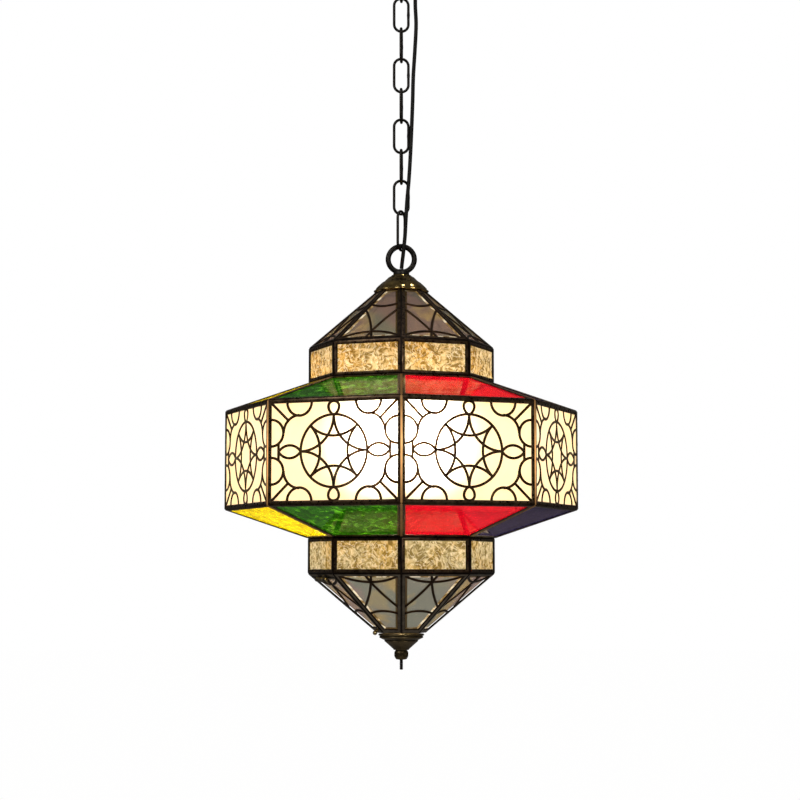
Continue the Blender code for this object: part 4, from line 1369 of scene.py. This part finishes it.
HINGE = Vector(JOINTS["door_hinge"]["pos_m"])
CATCH = Vector(JOINTS["catch_turn"]["pos_m"])
DOOR_FACE = int((math.degrees(math.atan2(HINGE.x, -HINGE.y)) % 360) / 45)
KNUCKLE_STEP = 9.5 * MM
KNUCKLE_HALF = 4.5 * MM
KNUCKLE_R = 2.1 * MM
PIN_HOLE_R = 1.15 * MM
DOOR_TAPER = 0.6 * MM
DOOR_TAIL_STRIP = 9.0 * MM


def on_door_face(point):
    """(u, v, out) of a world point on the door's face."""
    return CONE.matrix(DOOR_FACE).inverted() @ point


def barrel(bm, u, half, place, outer, inner=0.0):
    """A knuckle or pin lying across the slope of the door's face."""
    edge = min(0.35 * MM, (outer - inner) * 0.4)
    profile = [(inner, -half), (outer - edge, -half), (outer, -half + edge)]
    profile += [(outer, half - edge), (outer - edge, half), (inner, half)]
    made = lathe(bmesh.new(), profile, 28)
    bmesh.ops.rotate(made, verts=made.verts, matrix=Matrix.Rotation(math.pi / 2, 3, "Y"))
    turn = CONE.matrix(DOOR_FACE) @ Matrix.Translation((u, place.y, place.z))
    bmesh.ops.transform(made, verts=made.verts, matrix=turn)
    mesh = bpy.data.meshes.new("part")
    made.to_mesh(mesh)
    made.free()
    bm.from_mesh(mesh)
    bpy.data.meshes.remove(mesh)


def leaf(bm, u, v, side):
    """The flat of a hinge knuckle, on the cone for side 1 and on the door for side -1."""
    start = len(bm.verts)
    block(bm, (8.4 * MM, 3.2 * MM, 1.6 * MM), (u, v + side * 2.2 * MM, 0.7 * MM), 0.25 * MM)
    bm.verts.ensure_lookup_table()
    bmesh.ops.transform(bm, verts=bm.verts[start:], matrix=CONE.matrix(DOOR_FACE))


def door_outline():
    """Edges of the door leaf on its face: widths of what is left round it."""
    flat = [on_door_face(p) for p in points_of("door_frame")]
    flat = [p for p in flat if abs(p.z) < 0.3 * MM]
    low, high = min(p.y for p in flat), max(p.y for p in flat)
    half = max(abs(p.x) for p in flat if p.y < low + 0.05 * MM)
    lean = (CONE.half_width(0) - CONE.half_width(CONE.slant)) / CONE.slant
    side = (CONE.half_width(low) - half) / math.hypot(1, lean)
    return side, low, CONE.slant - high


def cone():
    others = [k for k in range(SIDES) if k != DOOR_FACE]
    widths = (STRIP, TAIL_STRIP, STRIP)
    lapped = [w - LAP for w in widths]
    hinge = on_door_face(HINGE)
    side, low, top = door_outline()
    clear = 0.4 * MM
    bm = bmesh.new()
    for k in others:
        border(bm, CONE, k, widths)
    border(bm, CONE, DOOR_FACE, (side - clear, low - clear, top - 2 * clear))
    for sign in (-1, 1):
        leaf(bm, sign * KNUCKLE_STEP, hinge.y, 1)
        barrel(bm, sign * KNUCKLE_STEP, KNUCKLE_HALF, hinge, KNUCKLE_R, PIN_HOLE_R)
    cad = ["cone_frame"]
    # The cone's strips take the lighter bronze with painted floor light.
    piece("cone_strips", bm, FLOOR_LIT_BRONZE, "lantern", cad, 50, DARK_EDGE)

    for k in others:
        bevelled_pane(f"cone_pane_{k + 1}", CONE, k, lapped, "lantern", "cone_glass")
        fan_tracery(f"cone_tracery_{k + 1}", CONE, k, widths)
    door(hinge, side, low, top)
    hinge_pin(hinge)
    catch()


def door(hinge, side, low, top):
    """The door's leaf, whose own outer edge leaves these widths of the cone's face round it."""
    widths = (2.8 * MM, DOOR_TAIL_STRIP - low, 2.8 * MM)

    def row(share, extra, depth):
        strips = (w * share + extra for w in widths)
        corners = CONE.outline(*(edge + strip for edge, strip in zip((side, low, top), strips)))
        a, b, c, d = corners
        narrowing = DOOR_TAPER * (1 - share)
        return [a, b, (c[0] - narrowing, c[1]), (d[0] + narrowing, d[1])], depth

    rows = [row(0, 0, SKIN), row(0, 0, SOFT), row(0, SOFT, 0), row(0.5, 0, -CAMBER)]
    rows += [row(1, -SOFT, 0), row(1, 0, SOFT), row(1, 0, SKIN)]
    bm = bmesh.new()
    sheets = loops(bm, CONE, DOOR_FACE, rows)
    edge_material(sheets[:2] + sheets[4:6])
    leaf(bm, 0, hinge.y, -1)
    barrel(bm, 0, KNUCKLE_HALF, hinge, KNUCKLE_R, PIN_HOLE_R)
    cad = ["door_frame"]
    # The door's strips take the lighter bronze with painted floor light.
    piece("door_strips", bm, FLOOR_LIT_BRONZE, "door", cad, 50, DARK_EDGE)

    # The door's pane keeps its outline at every depth, where a fixed pane follows the mitres.
    flat_face = Storey(len(OUTLINE) - 2)
    flat_face.shift_low = flat_face.shift_top = 0.0
    inner = (side + widths[0], low + widths[1], top + widths[2])
    lapped = [w - LAP for w in inner]
    bevelled_pane("door_pane", flat_face, DOOR_FACE, lapped, "door", "door_glass")
    fan_tracery("door_tracery", CONE, DOOR_FACE, inner, "door")


def hinge_pin(hinge):
    """Pin through the three knuckles, with a small head on each end."""
    pin_half, pin_r = 14.5 * MM, 0.95 * MM
    head_at, head_half, head_r = 14.6 * MM, 0.5 * MM, 1.5 * MM
    bm = bmesh.new()
    barrel(bm, 0, pin_half, hinge, pin_r)
    for sign in (-1, 1):
        barrel(bm, sign * head_at, head_half, hinge, head_r)
    piece("door_pin", bm, BRASS, "lantern", ["hinge_pin"])


def catch():
    """Knob on a spindle through the door, with the cam on its inner end."""
    place = on_door_face(CATCH)
    ball_out, ball_r = 3.4 * MM, 2.3 * MM
    knob = outline_from(0, (0, -3.0), (1.0, -3.0), (1.0, 0.25), (1.9, 0.25), (2.0, 0.7))
    knob += outline_from(0, (1.7, 1.1), (1.05, 1.35))
    knob += turned_arc(0, ball_out, ball_r, -58, 88, 12) + [(0, ball_out + ball_r)]
    bm = lathe(bmesh.new(), knob, 32)
    block(bm, (7.0 * MM, 3.2 * MM, 1.0 * MM), (2.2 * MM, 0, -2.25 * MM), 0.25 * MM)
    matrix = CONE.matrix(DOOR_FACE, place.x, place.y)
    bmesh.ops.transform(bm, verts=bm.verts, matrix=matrix)
    piece("catch_knob", bm, BRASS, "catch", ["door_catch"])


# ---------------------------------------------------------------- everything


def main():
    studio()
    cable()
    for number in range(1, LINKS + 1):
        chain_link(number)
    canopy()
    gland()
    mounting_bar()
    canopy_ring()
    hub_ring()
    top_cap()
    lampholder()
    bulb()
    repaint("support_tube", STEEL)
    bottom_cap()
    finial()
    roof()
    necks()
    shoulders()
    wall()
    cone()


main()
